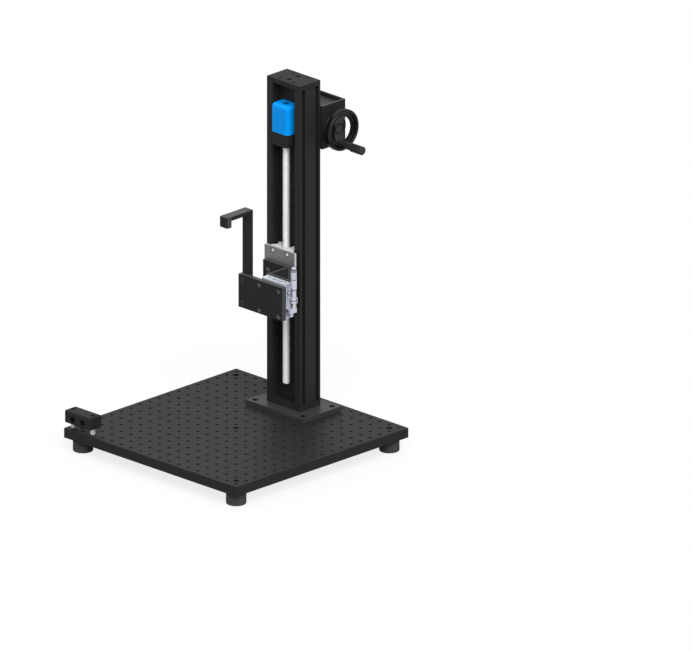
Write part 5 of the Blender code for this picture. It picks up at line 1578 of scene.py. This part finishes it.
LAMP_ANGLE = math.radians(50)
DISTANCE = 4.0
LAMPS = (
    ("wide_soft_light", Vector((0.58, -0.40, 0.71)), 2.75),
    ("faint_back_light", Vector((-0.72, 0.26, 0.64)), 0.4),
)


def make_lamps():
    """A very wide soft light from the upper right, and a faint one from behind."""
    for name, towards, energy in LAMPS:
        lamp = bpy.data.lights.new(name, "SUN")
        lamp.angle = LAMP_ANGLE
        lamp.energy = energy
        holder = bpy.data.objects.new(name, lamp)
        holder.location = towards * DISTANCE
        holder.rotation_euler = towards.to_track_quat("Z", "Y").to_euler()
        bpy.context.scene.collection.objects.link(holder)


AZIMUTH = math.radians(45.0)
ELEVATION = math.radians(20.2)
IMAGE_SIZE = (692, 653)
PIXELS_PER_METRE = 541.3
BOARD_PIXEL = (236.2, 427.8)


def make_camera():
    """A parallel view from the front right that puts the board's middle on its pixel."""
    back = Vector((
        math.sin(AZIMUTH) * math.cos(ELEVATION), -math.cos(AZIMUTH) * math.cos(ELEVATION),
        math.sin(ELEVATION)))
    turn = (-back).to_track_quat("-Z", "Y")
    right, up = turn @ Vector((1, 0, 0)), turn @ Vector((0, 1, 0))
    board = middle("breadboard")
    board.z = span("breadboard")[1].z
    off_right = (IMAGE_SIZE[0] / 2 - BOARD_PIXEL[0]) / PIXELS_PER_METRE
    off_up = (BOARD_PIXEL[1] - IMAGE_SIZE[1] / 2) / PIXELS_PER_METRE
    target = board + right * off_right + up * off_up
    lens = bpy.data.cameras.new("parallel_view")
    lens.type = "ORTHO"
    lens.ortho_scale = IMAGE_SIZE[0] / PIXELS_PER_METRE
    lens.clip_end = 20.0
    camera = bpy.data.objects.new("camera", lens)
    camera.location = target + back * DISTANCE
    camera.rotation_euler = turn.to_euler()
    bpy.context.scene.collection.objects.link(camera)
    bpy.context.scene.camera = camera


class CAMSTAGE_PT_panel(bpy.types.Panel):
    """The stage's sizes, colours and pieces"""

    bl_idname = "CAMSTAGE_PT_panel"
    bl_label = "Camera Stage"
    bl_space_type = "VIEW_3D"
    bl_region_type = "UI"
    bl_category = "Camera Stage"

    def draw(self, context):
        layout = self.layout
        for group in (context.scene.camstage_sizes, context.scene.camstage_colours):
            box = layout.box()
            for name in group.bl_rna.properties.keys():
                if name not in ("rna_type", "name"):
                    box.prop(group, name)
        for operator in OPERATORS:
            layout.operator(operator.bl_idname)


OPERATORS = (
    CAMSTAGE_OT_board, CAMSTAGE_OT_column, CAMSTAGE_OT_gear_head, CAMSTAGE_OT_drive,
    CAMSTAGE_OT_carriage, CAMSTAGE_OT_fine_stage, CAMSTAGE_OT_camera_holder,
    CAMSTAGE_OT_corner_block, CAMSTAGE_OT_inner_parts, CAMSTAGE_OT_studio)
CLASSES = (CAMSTAGE_PG_sizes, CAMSTAGE_PG_colours, *OPERATORS, CAMSTAGE_PT_panel)


def register():
    """Add the classes and the scene's sizes and colours."""
    for item in CLASSES:
        bpy.utils.register_class(item)
    bpy.types.Scene.camstage_sizes = bpy.props.PointerProperty(type=CAMSTAGE_PG_sizes)
    bpy.types.Scene.camstage_colours = bpy.props.PointerProperty(type=CAMSTAGE_PG_colours)


def unregister():
    """Take everything away again."""
    del bpy.types.Scene.camstage_colours
    del bpy.types.Scene.camstage_sizes
    for item in reversed(CLASSES):
        bpy.utils.unregister_class(item)


def main():
    """Make every piece in order."""
    register()
    bpy.ops.camstage.board()
    bpy.ops.camstage.column()
    bpy.ops.camstage.gear_head()
    bpy.ops.camstage.drive()
    bpy.ops.camstage.carriage()
    bpy.ops.camstage.fine_stage()
    bpy.ops.camstage.camera_holder()
    bpy.ops.camstage.corner_block()
    bpy.ops.camstage.inner_parts()
    bpy.ops.camstage.studio()


if __name__ == "__main__":
    main()
